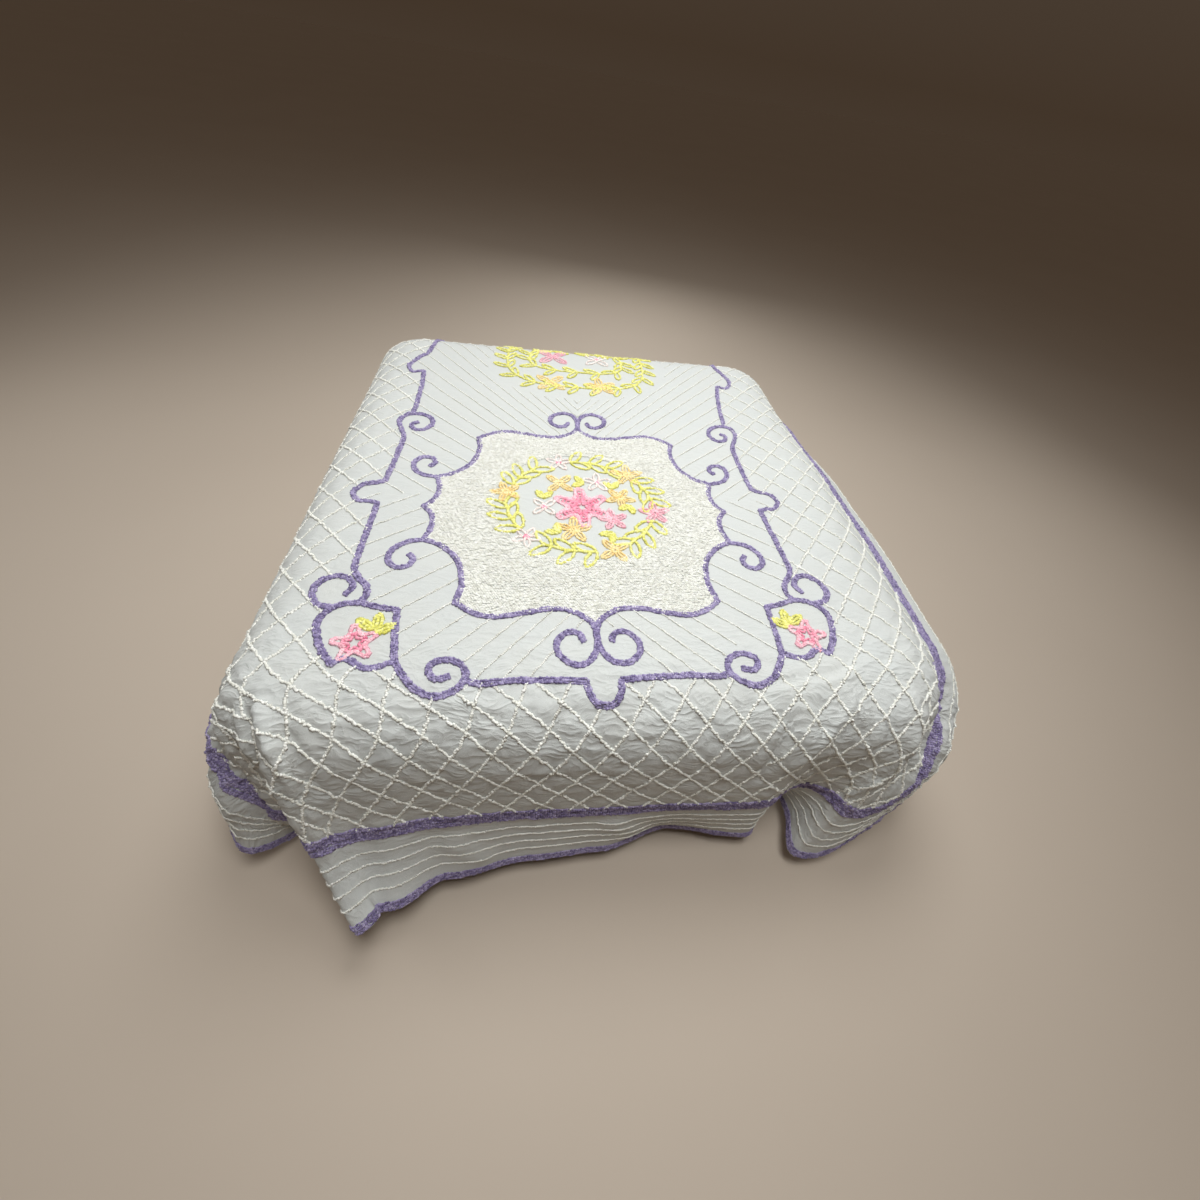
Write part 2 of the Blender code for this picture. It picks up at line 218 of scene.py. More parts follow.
# The frame's outer outline, with its scrolls, and one shield's, from the foot.
FRAME_OUTLINE = PENDANT + FOOT_LINE[:4] + [(0.345, -0.648), (0.39, -0.665), (0.44, -0.647), (0.478, -0.615)]
FRAME_OUTLINE += SHIELD_FOOT[::-1] + SHIELD_OUTER[::-1] + CORNER_SCROLL[1:6] + SIDE_LINE[3:] + SIDE_PENDANT
FRAME_OUTLINE += UPPER_SCROLL[1:7] + UPPER_LINE + UPPER_PENDANT + HEAD_LINE
SHIELD_OUTLINE = SHIELD_INNER + SHIELD_FOOT[::-1] + SHIELD_OUTER[::-1]
SHIELD_OUTLINE += SHIELD_HEAD_OUTER[::-1] + SHIELD_HEAD[::-1]

# Round places that the slanted rows leave bare, by middle and radii. All but the last are on both sides.
BARE_ROUNDS = [
    ((0.392, -0.606), (0.066, 0.064)),
    ((0.527, 0.207), (0.044, 0.052)),
    ((0.527, -0.207), (0.044, 0.052)),
    ((0.058, 0.538), (0.062, 0.060)),
    ((0.058, -0.538), (0.062, 0.060)),
    ((0.612, 0.482), (0.070, 0.066)),
    ((0.668, -0.352), (0.070, 0.058)),
    ((0.0, 1.02), (0.42, 0.31)),
]

# The medallion's wreath. Sprigs are pairs of leaves round an oval, each at an angle in degrees.
WREATH_MIDDLE, WREATH_RADII, WREATH_BARE = (-0.010, 0.030), (0.247, 0.226), (0.288, 0.266)
WREATH_SPRIGS = (97, 81, 66, 38, 24, 10, -19, -35, -49, -81, -97, -114, -143, -157, -170, 159, 147, 132)
LEAF_LENGTH, LEAF_WIDTH, LEAF_SPREAD = 0.074, 0.030, (56, -30)
LEAF_POINTEDNESS, LEAF_POINTS = 0.25, 26
# A filled leaf's middle row runs from the first to the second of these shares of its length.
LEAF_ROW = (0.15, 0.85)
# Sprigs further apart than this, in degrees, have a flower between them and no stem.
LONGEST_STEM = 27
STEM_POINTS = 12
# Small leaves in pairs: the place where they meet and the direction between them.
SMALL_LEAVES = [
    (-0.137, 0.048, 85),
    (0.000, 0.138, 168),
    (0.103, 0.118, 95),
    (0.155, 0.030, 250),
    (-0.085, -0.115, 140),
    (0.088, -0.110, 225),
]
SMALL_LEAF_SIZE, SMALL_LEAF_SPREAD = (0.040, 0.017), (-38, 38)
# Flowers, by their middle, the reach of a petal, the number of petals and the first one's direction.
Flower = namedtuple("Flower", "across along reach petals turn")
PINK_FLOWERS = [
    Flower(0.240, -0.002, 0.054, 5, 22),
    Flower(0.093, -0.044, 0.050, 5, 28),
    Flower(-0.110, 1.085, 0.085, 4, 48),
]
ORANGE_FLOWERS = [
    Flower(-0.262, 0.070, 0.050, 5, 40),
    Flower(-0.082, 0.130, 0.056, 4, 50),
    Flower(0.163, 0.198, 0.060, 5, 20),
    Flower(0.126, 0.068, 0.052, 5, 60),
    Flower(-0.038, -0.100, 0.058, 5, 90),
    Flower(0.088, -0.186, 0.054, 4, 38),
    Flower(-0.118, 0.835, 0.078, 4, 50),
    Flower(0.105, 0.835, 0.074, 5, 30),
]
PALE_FLOWERS = [
    Flower(-0.133, 0.002, 0.046, 4, 45),
    Flower(-0.086, 0.250, 0.046, 5, 90),
    Flower(-0.185, -0.142, 0.044, 5, 60),
    Flower(0.050, 0.146, 0.050, 5, 20),
    Flower(0.100, 1.090, 0.070, 4, 45),
]
# A petal's start, length and width, as shares of the flower's reach, and the knots in the flowers' middles.
PETAL_START, PETAL_LENGTH, PETAL_WIDTH = 0.10, 0.90, 0.40
KNOT_RADIUS, PALE_KNOT_RADII = 0.007, (0.008, 0.003)
STAR_MIDDLE, STAR_TIPS, STAR_TURN = (-0.008, 0.010), 6, 35
STAR_OUTER, STAR_WAIST, STAR_HEART, STAR_HEART_WAIST = 0.094, 0.053, 0.066, 0.030
STAR_LANES, STAR_HEART_SCALES = (0.0, -0.0060, -0.0120), (1.0, 0.82, 0.62, 0.42)
# How many degrees to each side of a star's tip it is rounded over.
STAR_TIP = 7

# The head wreath: an outer and an inner ring of sprigs, as radii and count, squarer than ovals.
HEAD_WREATH_MIDDLE = (0.0, 1.060)
HEAD_RINGS, HEAD_SQUARENESS = [((0.318, 0.250), 22), ((0.218, 0.110), 14)], 3.0
HEAD_LEAF_LENGTH, HEAD_LEAF_WIDTH = 0.070, 0.023

# In each shield: a star with a smaller one in it, and three leaves.
SHIELD_STAR, SHIELD_STAR_OUTER, SHIELD_STAR_WAIST = (0.600, -0.514), 0.053, 0.029
SHIELD_HEART, SHIELD_HEART_WAIST, SHIELD_STAR_TIPS, SHIELD_STAR_TURN = 0.027, 0.012, 5, 78
SHIELD_LEAVES = [(0.556, -0.484, 148), (0.559, -0.476, 92), (0.566, -0.474, 36)]
SHIELD_LEAF_LENGTH, SHIELD_LEAF_WIDTH = 0.050, 0.021

# ---------------------------------------------------------------- the rows' sizes

# The distance between a row's points, and half of it on small shapes.
ROW_STEP, FINE_STEP = 0.007, 0.0035
SURFACE_NUDGE = 0.002
FAR = 9.0
EDGE_CORNER_POINTS = 40

# Tufts of each kind of row: how far apart they are, half their length and width, their height, and how far
# they stray from the row.
Tuft = namedtuple("Tuft", "pitch length width height scatter")
LATTICE_TUFT = Tuft(0.0054, 0.0054, 0.0048, 0.0038, 0.0023)
RIB_TUFT = Tuft(0.0058, 0.0050, 0.0035, 0.0030, 0.0014)
SLANT_TUFT = Tuft(0.0058, 0.0048, 0.0034, 0.0028, 0.0010)
PILE_TUFT = Tuft(0.0070, 0.0056, 0.0050, 0.0034, 0.0018)
HEM_TUFT = Tuft(0.0064, 0.0052, 0.0044, 0.0036, 0.0010)
BAND_TUFT = Tuft(0.0066, 0.0054, 0.0046, 0.0042, 0.0010)
SCROLL_TUFT = Tuft(0.0056, 0.0052, 0.0048, 0.0046, 0.0011)
LEAF_TUFT = Tuft(0.0050, 0.0058, 0.0068, 0.0052, 0.0008)
PETAL_TUFT = Tuft(0.0048, 0.0052, 0.0054, 0.0048, 0.0007)
TUFT_SIDES, TUFT_SEAT = 5, 0.35
# The least and the most that a tuft's sizes are multiplied by, and that it leans and turns, in radians.
TUFT_SPREAD = ((0.80, 0.70, 0.60), (1.25, 1.30, 1.30))
TUFT_LEAN = ((-0.35, -0.35, -0.9), (0.35, 0.35, 0.9))
# The seed of the first kind of row. Each of the others has the next one.
FIRST_SEED = 21

# The sheet's face over the drape, its thickness, and its cells, which are wider on top and at the head.
FACE_HEIGHT, SHEET_THICKNESS = 0.0013, 0.0016
FINE_CELL, TOP_CELL, HEAD_CELL = 0.0094, 0.0115, 0.0135

# The mattress inside its block: its corners, which get tighter by a share of any inset, and its rounded edge.
MATTRESS_CORNER, CORNER_TIGHTENING, MATTRESS_EDGE = 0.28, 0.6, 0.17
# The flat faces' rings, as shares of the outermost, the edge's rings, and the steps round a corner.
FACE_RINGS, EDGE_RINGS, MATTRESS_CORNER_STEPS = (0.02, 0.35, 0.7), 25, 10
# The slopes on its side, in degrees, where the corded seams run.
PIPING_RADIUS, PIPING_SIDES, PIPING_SLOPES = 0.004, 8, (-30, 30)

# ---------------------------------------------------------------- finishes, camera and light

# The roughness of every finish's sheen, and its specular level.
SHEEN_ROUGHNESS, SPECULAR_LEVEL = 0.6, 0.25
# Plain weave: the relief of yarns and slubs, and how the slubs are drawn out along a yarn.
YARN_RELIEF, SLUB_RELIEF, SLUB_SCALES = 0.00008, 0.00030, (60, 700, 1)
CLOUD_SCALE = 7.0
# Crinkles in the ground: their size and height, how they are stretched across, and how far they wander.
CRINKLE_SIZE, CRINKLE_HEIGHT, CRINKLE_STRETCH, CRINKLE_KINK = 0.020, 0.0021, (0.42, 1.0, 1.0), 0.075
KINK_SCALE, CRINKLE_SHARPNESS = 9.0, 1.6
GROUND_YARN_GAP, GROUND_BUMP, SLUB_SHARE = 0.0007, 0.85, 0.14
# Chenille pile: its fibres, what each tuft's tone is made of, the clumps it lies in, and how it has faded.
FIBRE_SIZE, FIBRE_RELIEF, PILE_BUMP = 0.0022, 0.0016, 0.7
TUFT_TONE, FIBRE_TONE, CLUMP_TONE = 0.55, 0.45, 0.5
CLUMP_SCALE, FADE_SCALE, FADED_SHARE = 38.0, 3.0, 0.30
# The tones that a dye's darkest, usual and palest tufts have.
DYE_TONES = (0.22, 0.50, 0.80)
GROUND_WARM, GROUND_COOL, GROUND_SLUB = (0.625, 0.63, 0.60), (0.595, 0.62, 0.615), (0.74, 0.74, 0.71)
# Each dye: the darkest tufts, the usual ones, the palest ones, and what it fades towards.
DYES = {
    "cream": ((0.77, 0.76, 0.68), (0.86, 0.855, 0.795), (0.93, 0.925, 0.88), (0.89, 0.885, 0.835)),
    "purple": ((0.12, 0.085, 0.22), (0.285, 0.232, 0.44), (0.50, 0.435, 0.64), (0.41, 0.37, 0.52)),
    "yellow": ((0.66, 0.63, 0.08), (0.84, 0.81, 0.17), (0.92, 0.90, 0.40), (0.92, 0.90, 0.54)),
    "orange": ((0.88, 0.58, 0.16), (0.96, 0.75, 0.32), (0.98, 0.86, 0.52), (0.96, 0.90, 0.70)),
    "pink": ((0.86, 0.34, 0.44), (0.95, 0.50, 0.59), (0.97, 0.68, 0.72), (0.95, 0.78, 0.78)),
    "deep_pink": ((0.80, 0.17, 0.30), (0.93, 0.31, 0.44), (0.95, 0.46, 0.56), (0.92, 0.62, 0.66)),
    "pale_pink": ((0.88, 0.72, 0.68), (0.93, 0.84, 0.79), (0.96, 0.91, 0.86), (0.95, 0.91, 0.88)),
}
# Woven covers of the mattress and the base: two tones, the gap between yarns, and the roughness.
TICKING = ((0.74, 0.72, 0.68), (0.62, 0.60, 0.56), 0.0008, 0.85)
UPHOLSTERY = ((0.36, 0.34, 0.32), (0.27, 0.25, 0.235), 0.0018, 0.8)
COVER_CRINKLE_SIZE, COVER_CRINKLE_HEIGHT, COVER_BUMP = 0.06, 0.0006, 0.5
STRIPE_BLUE, STRIPE_SHARE, STRIPE_HALF_WIDTH, STRIPE_GAP = (0.30, 0.36, 0.46), 0.7, 0.0022, 0.045
FLOOR_LIGHT, FLOOR_DARK = (0.62, 0.53, 0.44), (0.58, 0.49, 0.405)
FLOOR_REACH, FLOOR_CLOUD_SCALE = 40.0, 0.8

CAMERA_PLACE, CAMERA_LENS, CAMERA_SENSOR = (-0.1903, -1.4135, 1.7174), 13.53, 36.0
# Yaw to the right, pitch down and roll, in radians.
CAMERA_TURNS = (0.20514, 0.89577, 0.18577)
# The room's light: its strength, its colour, and how high over its edge it reaches that colour.
ROOM_LIGHT, ROOM_COLOUR, ROOM_EDGE = 0.095, (1.0, 0.78, 0.60), 0.45
# Soft lamps: place, what each is aimed at, width, power and colour.
COOL, WARM = (0.975, 1.0, 1.0), (1.0, 0.42, 0.22)
LIGHTS = [
    ("key_light", (0.3, 0.85, 3.6), (0.0, 0.6, 0.6), 2.0, 72.0, COOL),
    ("front_light", (0.10, -1.05, 3.4), (0.0, -0.9, 0.5), 1.1, 50.0, COOL),
    ("left_light", (-3.6, 0.6, 2.2), (-0.5, 0.0, 0.5), 1.5, 17.0, COOL),
    ("right_light", (3.6, 0.9, 2.2), (0.5, 0.0, 0.5), 1.5, 11.0, COOL),
    ("back_light", (0.6, 3.9, 2.0), (0.0, 0.8, 0.4), 1.5, 20.0, COOL),
    ("bounce_light", (-0.2, -3.2, 0.5), (0.0, -1.2, 0.4), 1.8, 0.3, WARM),
]


def ease(value):
    """0 to 1, with no slope at either end."""
    value = np.clip(value, 0.0, 1.0)
    return value * value * (3.0 - 2.0 * value)


# ---------------------------------------------------------------- the drape


def rim_starts():
    """Each edge's and corner's start, as a distance round the core's rim from the head of its left edge."""
    width, length = CORE_RIGHT - CORE_LEFT, CORE_HEAD - CORE_FOOT
    runs = [
        ("left", length),
        ("foot_left", CORNER_RUN),
        ("foot", width),
        ("foot_right", CORNER_RUN),
        ("right", length),
        ("head_right", CORNER_RUN),
        ("head", width),
        ("head_left", CORNER_RUN),
    ]
    starts, reached = {}, 0.0
    for edge, run in runs:
        starts[edge] = reached
        reached += run
    return starts, reached


RIM, RIM_LENGTH = rim_starts()


def station_on_rim(station):
    """The station's distance round the rim."""
    place = station.place
    along_edge = {
        "left": CORE_HEAD - place,
        "foot_left": CORNER_RUN * place / 90,
        "foot": place - CORE_LEFT,
        "foot_right": CORNER_RUN * (90 - place) / 90,
        "right": place - CORE_FOOT,
        "head_right": CORNER_RUN * place / 90,
        "head": CORE_RIGHT - place,
        "head_left": CORNER_RUN * (90 - place) / 90,
    }
    return RIM[station.edge] + along_edge[station.edge]


def nearest_on_core(across, along):
    """The point of the core rectangle that is nearest to each point of the cloth."""
    core_along = np.clip(along, CORE_FOOT, CORE_HEAD)
    right_edge = CORE_RIGHT - TAPER * ease((core_along - TAPER_START) / TAPER_RUN)
    core_across = np.minimum(np.maximum(across, CORE_LEFT), right_edge)
    return core_across, core_along


def place_on_rim(across, along, core_across, core_along):
    """How far round the rim each point of the cloth hangs from."""
    left, right = across < core_across, across > core_across
    foot, head = along < core_along, along > core_along
    sideways = np.maximum(np.abs(across - core_across), 1e-9)
    turn = CORNER_RUN * np.arctan2(np.abs(along - core_along), sideways) / (np.pi / 2)
    places = [
        (left & foot, RIM["foot_left"] + turn),
        (right & foot, RIM["foot_right"] + CORNER_RUN - turn),
        (right & head, RIM["head_right"] + turn),
        (left & head, RIM["head_left"] + CORNER_RUN - turn),
        (foot, RIM["foot"] + core_across - CORE_LEFT),
        (head, RIM["head"] + np.maximum(CORE_RIGHT - core_across, 0.0)),
        (right, RIM["right"] + core_along - CORE_FOOT),
    ]
    on_left = RIM["left"] + CORE_HEAD - core_along
    return np.select([where for where, _ in places], [value for _, value in places], on_left)


def hang(rim_place):
    """The stations' values at a place on the rim, eased between the stations on each side of it."""
    known = sorted((station_on_rim(station), station[2:]) for station in STATIONS)
    (first_place, first_values), (last_place, last_values) = known[0], known[-1]
    places = [last_place - RIM_LENGTH] + [place for place, _ in known] + [first_place + RIM_LENGTH]
    values = [last_values] + [values for _, values in known] + [first_values]
    places, values = np.array(places), np.array(values, float)
    before = np.clip(np.searchsorted(places, rim_place) - 1, 0, len(places) - 2)
    part = ease((rim_place - places[before]) / (places[before + 1] - places[before]))
    here = values[before] * (1 - part)[..., None] + values[before + 1] * part[..., None]
    roll, band, hem, swing, flare, shelf = np.moveaxis(here, -1, 0)
    return roll, np.radians(band), np.radians(hem), np.radians(swing), np.radians(flare), shelf


def drape(across, along):
    """Where points of the flat cloth lie on the bed, as an array with x, y and z last."""
    core_across, core_along = nearest_on_core(across, along)
    sideways, lengthways = across - core_across, along - core_along
    reach = np.hypot(sideways, lengthways)
    roll, band, hem, swing, flare, shelf = hang(place_on_rim(across, along, core_across, core_along))
    outward, down = np.zeros_like(reach), np.zeros_like(reach)
    for step in range(DRAPE_STEPS):
        gone = reach * (step + 0.5) / DRAPE_STEPS
        slope = band * ease(gone / roll)
        slope += (hem - band) * ease((gone - BAND_REACH) / (HEM_REACH - BAND_REACH))
        slope -= flare * np.exp(-(((gone - shelf) / SHELF_WIDTH) ** 2))
        slope *= np.sqrt(np.clip((BED_TOP - down - FLOOR_CLEARANCE) / FLOOR_EASE, 0.0, 1.0))
        outward += np.cos(slope) * reach / DRAPE_STEPS
        down += np.sin(slope) * reach / DRAPE_STEPS
    swung = np.clip((reach - SWING_START) / (HEM_REACH - SWING_START), 0.0, SWING_MOST)
    turn = swing * swung**SWING_POWER
    unit_x = sideways / np.maximum(reach, 1e-9)
    unit_y = lengthways / np.maximum(reach, 1e-9)
    x = core_across + outward * (unit_x * np.cos(turn) - unit_y * np.sin(turn)) + MEDALLION_X
    y = core_along + outward * (unit_x * np.sin(turn) + unit_y * np.cos(turn)) + MEDALLION_Y
    return np.stack([x, y, BED_TOP - down], -1)


# ---------------------------------------------------------------- drawing on the flat cloth


def smooth(points, step=ROW_STEP):
    """Points about a step apart on a smooth curve through the given points."""
    points = np.asarray(points, float)
    ring = np.vstack([2 * points[0] - points[1], points, 2 * points[-1] - points[-2]])
    made = []
    for before, start, end, after in zip(ring, ring[1:], ring[2:], ring[3:]):
        count = max(2, round(float(np.linalg.norm(end - start)) / step))
        part = (np.arange(count) / count)[:, None]
        bend = 2 * start + (end - before) * part
        bend += (2 * before - 5 * start + 4 * end - after) * part**2
        bend += (3 * start - before - 3 * end + after) * part**3
        made.append(bend / 2)
    return np.vstack(made + [points[-1:]])


def evenly(line, step=ROW_STEP):
    """The line with points about a step apart."""
    line = np.asarray(line, float)
    reached = np.concatenate([[0.0], np.cumsum(np.linalg.norm(np.diff(line, axis=0), axis=1))])
    places = np.linspace(0.0, reached[-1], max(2, round(reached[-1] / step) + 1))
    return np.stack([np.interp(places, reached, line[:, axis]) for axis in (0, 1)], -1)


def lanes(line, offsets):
    """Rows beside a line, each at its offset to the left of it."""
    ahead = np.gradient(line, axis=0)
    ahead /= np.maximum(np.linalg.norm(ahead, axis=1, keepdims=True), 1e-9)
    aside = np.stack([-ahead[:, 1], ahead[:, 0]], -1)
    return [line + aside * offset for offset in offsets]


def laid(design):
    """Points of the design as they lie on the cloth."""
    design = np.asarray(design, float)
    across, along = design[..., 0], design[..., 1]
    skewed = along + across * (MARKED_SKEW + MARKED_SKEW_GROWTH * along)
    bend = MARKED_ASIDE + MARKED_BEND * (along - MARKED_BEND_PLACE) ** 2
    return np.stack([across + bend, skewed], -1)


def on_design(across, along):
    """Where points of the cloth lie in the design, the other way round from laid()."""
    design_along = along
    for _ in range(4):
        design_across = across - MARKED_ASIDE - MARKED_BEND * (design_along - MARKED_BEND_PLACE) ** 2
        design_along = along - design_across * (MARKED_SKEW + MARKED_SKEW_GROWTH * design_along)
    return design_across, design_along


def mirrored(lines, ends=False):
    """The rows with their mirror images on the left, and footward too where ends is set."""
    made = [np.asarray(line, float) for line in lines]
    made += [line * (-1, 1) for line in made]
    if ends:
        made += [line * (1, -1) for line in made]
    return made


def both_halves(half):
    """A right half's outline with its mirror image, as one closed outline."""
    half = np.asarray(half, float)
    return np.vstack([half, (half * (-1, 1))[::-1]])


def inside(outline, across, along):
    """Which points lie in a closed outline."""
    found = np.zeros(np.shape(across), bool)
    for (start_x, start_y), (end_x, end_y) in zip(outline, np.roll(outline, -1, axis=0)):
        if start_y != end_y:
            crossed = (start_y > along) != (end_y > along)
            found ^= crossed & (across < start_x + (along - start_y) * (end_x - start_x) / (end_y - start_y))
    return found


def in_oval(middle, radii, across, along):
    return ((across - middle[0]) / radii[0]) ** 2 + ((along - middle[1]) / radii[1]) ** 2 < 1.0


def depth_from_edge(across, along):
    """How far in from the cut edge each point of the cloth is, with the round foot corners counted."""
    to_side, to_foot = HALF_WIDTH - np.abs(across), along - FOOT_HEM
    depth = np.minimum(np.minimum(to_side, to_foot), HEAD_HEM - along)
    past_side, past_foot = FOOT_CORNER_ROUND - to_side, FOOT_CORNER_ROUND - to_foot
    in_corner = (past_side > 0) & (past_foot > 0)
    return np.where(in_corner, FOOT_CORNER_ROUND - np.hypot(past_side, past_foot), depth)


def edge_ring(depth):
    """The closed row at one depth in from the cut edge."""
    radius = max(FOOT_CORNER_ROUND - depth, 0.01)
    turn = np.radians(np.linspace(0.0, 90.0, EDGE_CORNER_POINTS))
    side, foot = HALF_WIDTH - FOOT_CORNER_ROUND, FOOT_HEM + FOOT_CORNER_ROUND
    corner = np.stack([side + radius * np.sin(turn), foot - radius * np.cos(turn)], -1)
    half = np.vstack([corner, [(HALF_WIDTH - depth, HEAD_HEM - depth)]])
    ring = both_halves(half)
    return evenly(np.vstack([ring, ring[:1]]))


def kept_runs(line, keep):
    """The runs of a line over which keep holds."""
    edges = np.flatnonzero(np.diff(np.concatenate([[False], keep, [False]]).astype(int)))
    return [line[start:end] for start, end in zip(edges[::2], edges[1::2]) if end - start > 2]


MEDALLION_PARTS = (MEDALLION_WAIST, MEDALLION_SIDE, MEDALLION_END)
MEDALLION_QUARTER = np.vstack([smooth(part[::-1]) for part in MEDALLION_PARTS])
MEDALLION_HALF = np.vstack([(MEDALLION_QUARTER * (1, -1))[::-1], MEDALLION_QUARTER])
MEDALLION_OUTLINE = both_halves(MEDALLION_HALF)
FRAME_FULL_OUTLINE = both_halves(FRAME_OUTLINE)


def zones(across, along):
    """Whether points of the design lie in the lattice, among the slanted rows, or in the medallion."""
    in_frame = inside(FRAME_FULL_OUTLINE, across, along)
    in_medallion = inside(MEDALLION_OUTLINE, across, along)
    in_shield = inside(SHIELD_OUTLINE, np.abs(across), along)
    bare = in_shield | in_medallion
    for middle, radii in BARE_ROUNDS:
        bare |= in_oval(middle, radii, np.abs(across), along)
    cloth = laid(np.stack([across, along], -1))
    lattice = ~in_frame & (depth_from_edge(cloth[..., 0], cloth[..., 1]) > BAND_INNER - LATTICE_OVER_BAND)
    return lattice, in_frame & ~bare, in_medallion


def gather(along):
    """How closely the lattice is drawn together across, and how far aside, at a place along the cloth."""
    share = ease((GATHER_START - along) / GATHER_RUN)
    return 1.0 + GATHER_SHARE * share, GATHER_ASIDE * share


def lattice_gap(across, along):
    """The distance to the nearest row of the lattice."""
    closeness, aside = gather(along)
    sideways = (across * closeness + aside - LATTICE_NODE[0]) / LATTICE_ACROSS
    lengthways = (along - LATTICE_NODE[1]) / LATTICE_ALONG
    apart = np.hypot(1 / LATTICE_ACROSS, 1 / LATTICE_ALONG)
    families = (sideways + lengthways, sideways - lengthways)
    return np.minimum(*[np.abs(count - np.round(count)) / apart for count in families])


def slant_gap(across, along):
    """The distance to the nearest slanted row."""
    nearest = np.full(np.shape(across), FAR)
    for slants, wanted in ((HEADWARD_SLANTS, along > SLANT_TURN), (FOOTWARD_SLANTS, along <= SLANT_TURN)):
        for place, rise in slants:
            gap = np.abs(along - place - rise * (np.abs(across) - SLANT_PLACE)) / np.hypot(rise, 1.0)
            nearest = np.where(wanted, np.minimum(nearest, gap), nearest)
    return nearest


# ---------------------------------------------------------------- the cloth's relief


def value_noise(across, along, wide, tall, seed):
    """Smooth unevenness from -1 to 1, in cells of that size."""
    across, along = (across + NOISE_REACH) / wide, (along + NOISE_REACH) / tall
    cells = (int(2 * NOISE_REACH / tall) + 3, int(2 * NOISE_REACH / wide) + 3)
    heights = np.random.default_rng(seed).uniform(-1.0, 1.0, cells)
    column, row = across.astype(int), along.astype(int)
    right, up = ease(across - column), ease(along - row)
    low = heights[row, column] * (1 - right) + heights[row, column + 1] * right
    high = heights[row + 1, column] * (1 - right) + heights[row + 1, column + 1] * right
    return low * (1 - up) + high * up


def creased(across, along):
    """The height of the listed creases."""
    height = np.zeros_like(across)
    for crease in CREASES:
        line = np.array(crease.line)
        nearest, place = np.full_like(across, FAR), np.zeros_like(across)
        for index, (start, run) in enumerate(zip(line, np.diff(line, axis=0))):
            part = ((across - start[0]) * run[0] + (along - start[1]) * run[1]) / (run @ run)
            part = np.clip(part, 0.0, 1.0)
            gap = np.hypot(across - start[0] - part * run[0], along - start[1] - part * run[1])
            closer = gap < nearest
            nearest = np.where(closer, gap, nearest)
            place = np.where(closer, (index + part) / (len(line) - 1), place)
        fade = ease(place / CREASE_FADES[0]) * ease((1 - place) / CREASE_FADES[1])
        height += crease.height * np.exp(-((nearest / crease.width) ** 2)) * fade
    return height


def crumple(across, along):
    """How strongly the cloth is puckered: most where it rolls over the foot, least on the flat top."""
    past = along - CRUMPLED_FOOT
    amount = CRUMPLE_LEAST + CRUMPLE_OF_FOOT * np.exp(-((past / np.where(past < 0, *CRUMPLED_RUNS)) ** 2))
    for middle, radii, share in CRUMPLED_CORNERS:
        sideways, lengthways = (across - middle[0]) / radii[0], (along - middle[1]) / radii[1]
        amount += share * np.exp(-(sideways**2) - lengthways**2)
    amount += CRUMPLE_OF_SIDES * ease((np.abs(across) - CRUMPLED_SIDES) / CRUMPLED_SIDE_RUN)
    return np.clip(amount, 0.0, CRUMPLE_MOST)


def puckered(across, along):
    """The height of the fine puckers."""
    height = np.zeros_like(across)
    for pucker in PUCKERS:
        turn = radians(pucker.angle)
        ahead, aside = across * cos(turn) + along * sin(turn), along * cos(turn) - across * sin(turn)
        noise = value_noise(ahead, aside, pucker.wide, pucker.tall, pucker.seed)
        height += pucker.height * (1.0 - np.abs(noise)) ** PUCKER_SHARPNESS
    return height * crumple(across, along)


def skin(across, along):
    """How far the cloth stands off its smooth drape: creases, puckers and the puff between rows."""
    design = on_design(across, along)
    lattice, slanted, _ = zones(*design)
    puff = lattice * PUFF_HEIGHT * (1 - np.exp(-((lattice_gap(*design) / PUFF_WIDTH) ** 2)))
    puff += slanted * SLANT_PUFF_HEIGHT * (1 - np.exp(-((slant_gap(*design) / PUFF_WIDTH) ** 2)))
    return creased(across, along) + puckered(across, along) + puff


def smooth_normals(across, along):
    """Unit normals of the drape, out of the right side of the cloth."""
    to_right = drape(across + SURFACE_NUDGE, along) - drape(across - SURFACE_NUDGE, along)
    to_head = drape(across, along + SURFACE_NUDGE) - drape(across, along - SURFACE_NUDGE)
    normal = np.cross(to_right, to_head)
    return normal / np.maximum(np.linalg.norm(normal, axis=-1, keepdims=True), 1e-12)


def on_cloth(across, along, lift=0.0):
    """Points on the cloth's face and the normals there."""
    normal = smooth_normals(across, along)
    return drape(across, along) + normal * (FACE_HEIGHT + lift + skin(across, along))[..., None], normal


# ---------------------------------------------------------------- objects and node trees


def new_object(name, mesh_data):
    made = bpy.data.objects.new(name, mesh_data)
    bpy.context.scene.collection.objects.link(made)
    return made


def object_from(mesh, name):
    """A new object from a bmesh, which is used up."""
    mesh_data = bpy.data.meshes.new(name)
    mesh.to_mesh(mesh_data)
    mesh.free()
    return new_object(name, mesh_data)


def add_node(tree, kind, settings=(), **inputs):
    """A new node. Inputs go by name, with _ for a space, or by number as n0, n1 and so on."""
    node = tree.nodes.new(kind)
    for setting, value in dict(settings).items():
        setattr(node, setting, value)
    for name, value in inputs.items():
        numbered = name[0] == "n" and name[1:].isdigit()
        socket = node.inputs[int(name[1:]) if numbered else name.replace("_", " ")]
        if isinstance(value, bpy.types.NodeSocket):
            tree.links.new(value, socket)
        else:
            socket.default_value = value
    return node


def maths(tree, operation, first, second=0.0):
    return add_node(tree, "ShaderNodeMath", {"operation": operation}, n0=first, n1=second).outputs[0]


def vector_maths(tree, operation, first, **inputs):
    return add_node(tree, "ShaderNodeVectorMath", {"operation": operation}, n0=first, **inputs).outputs[0]


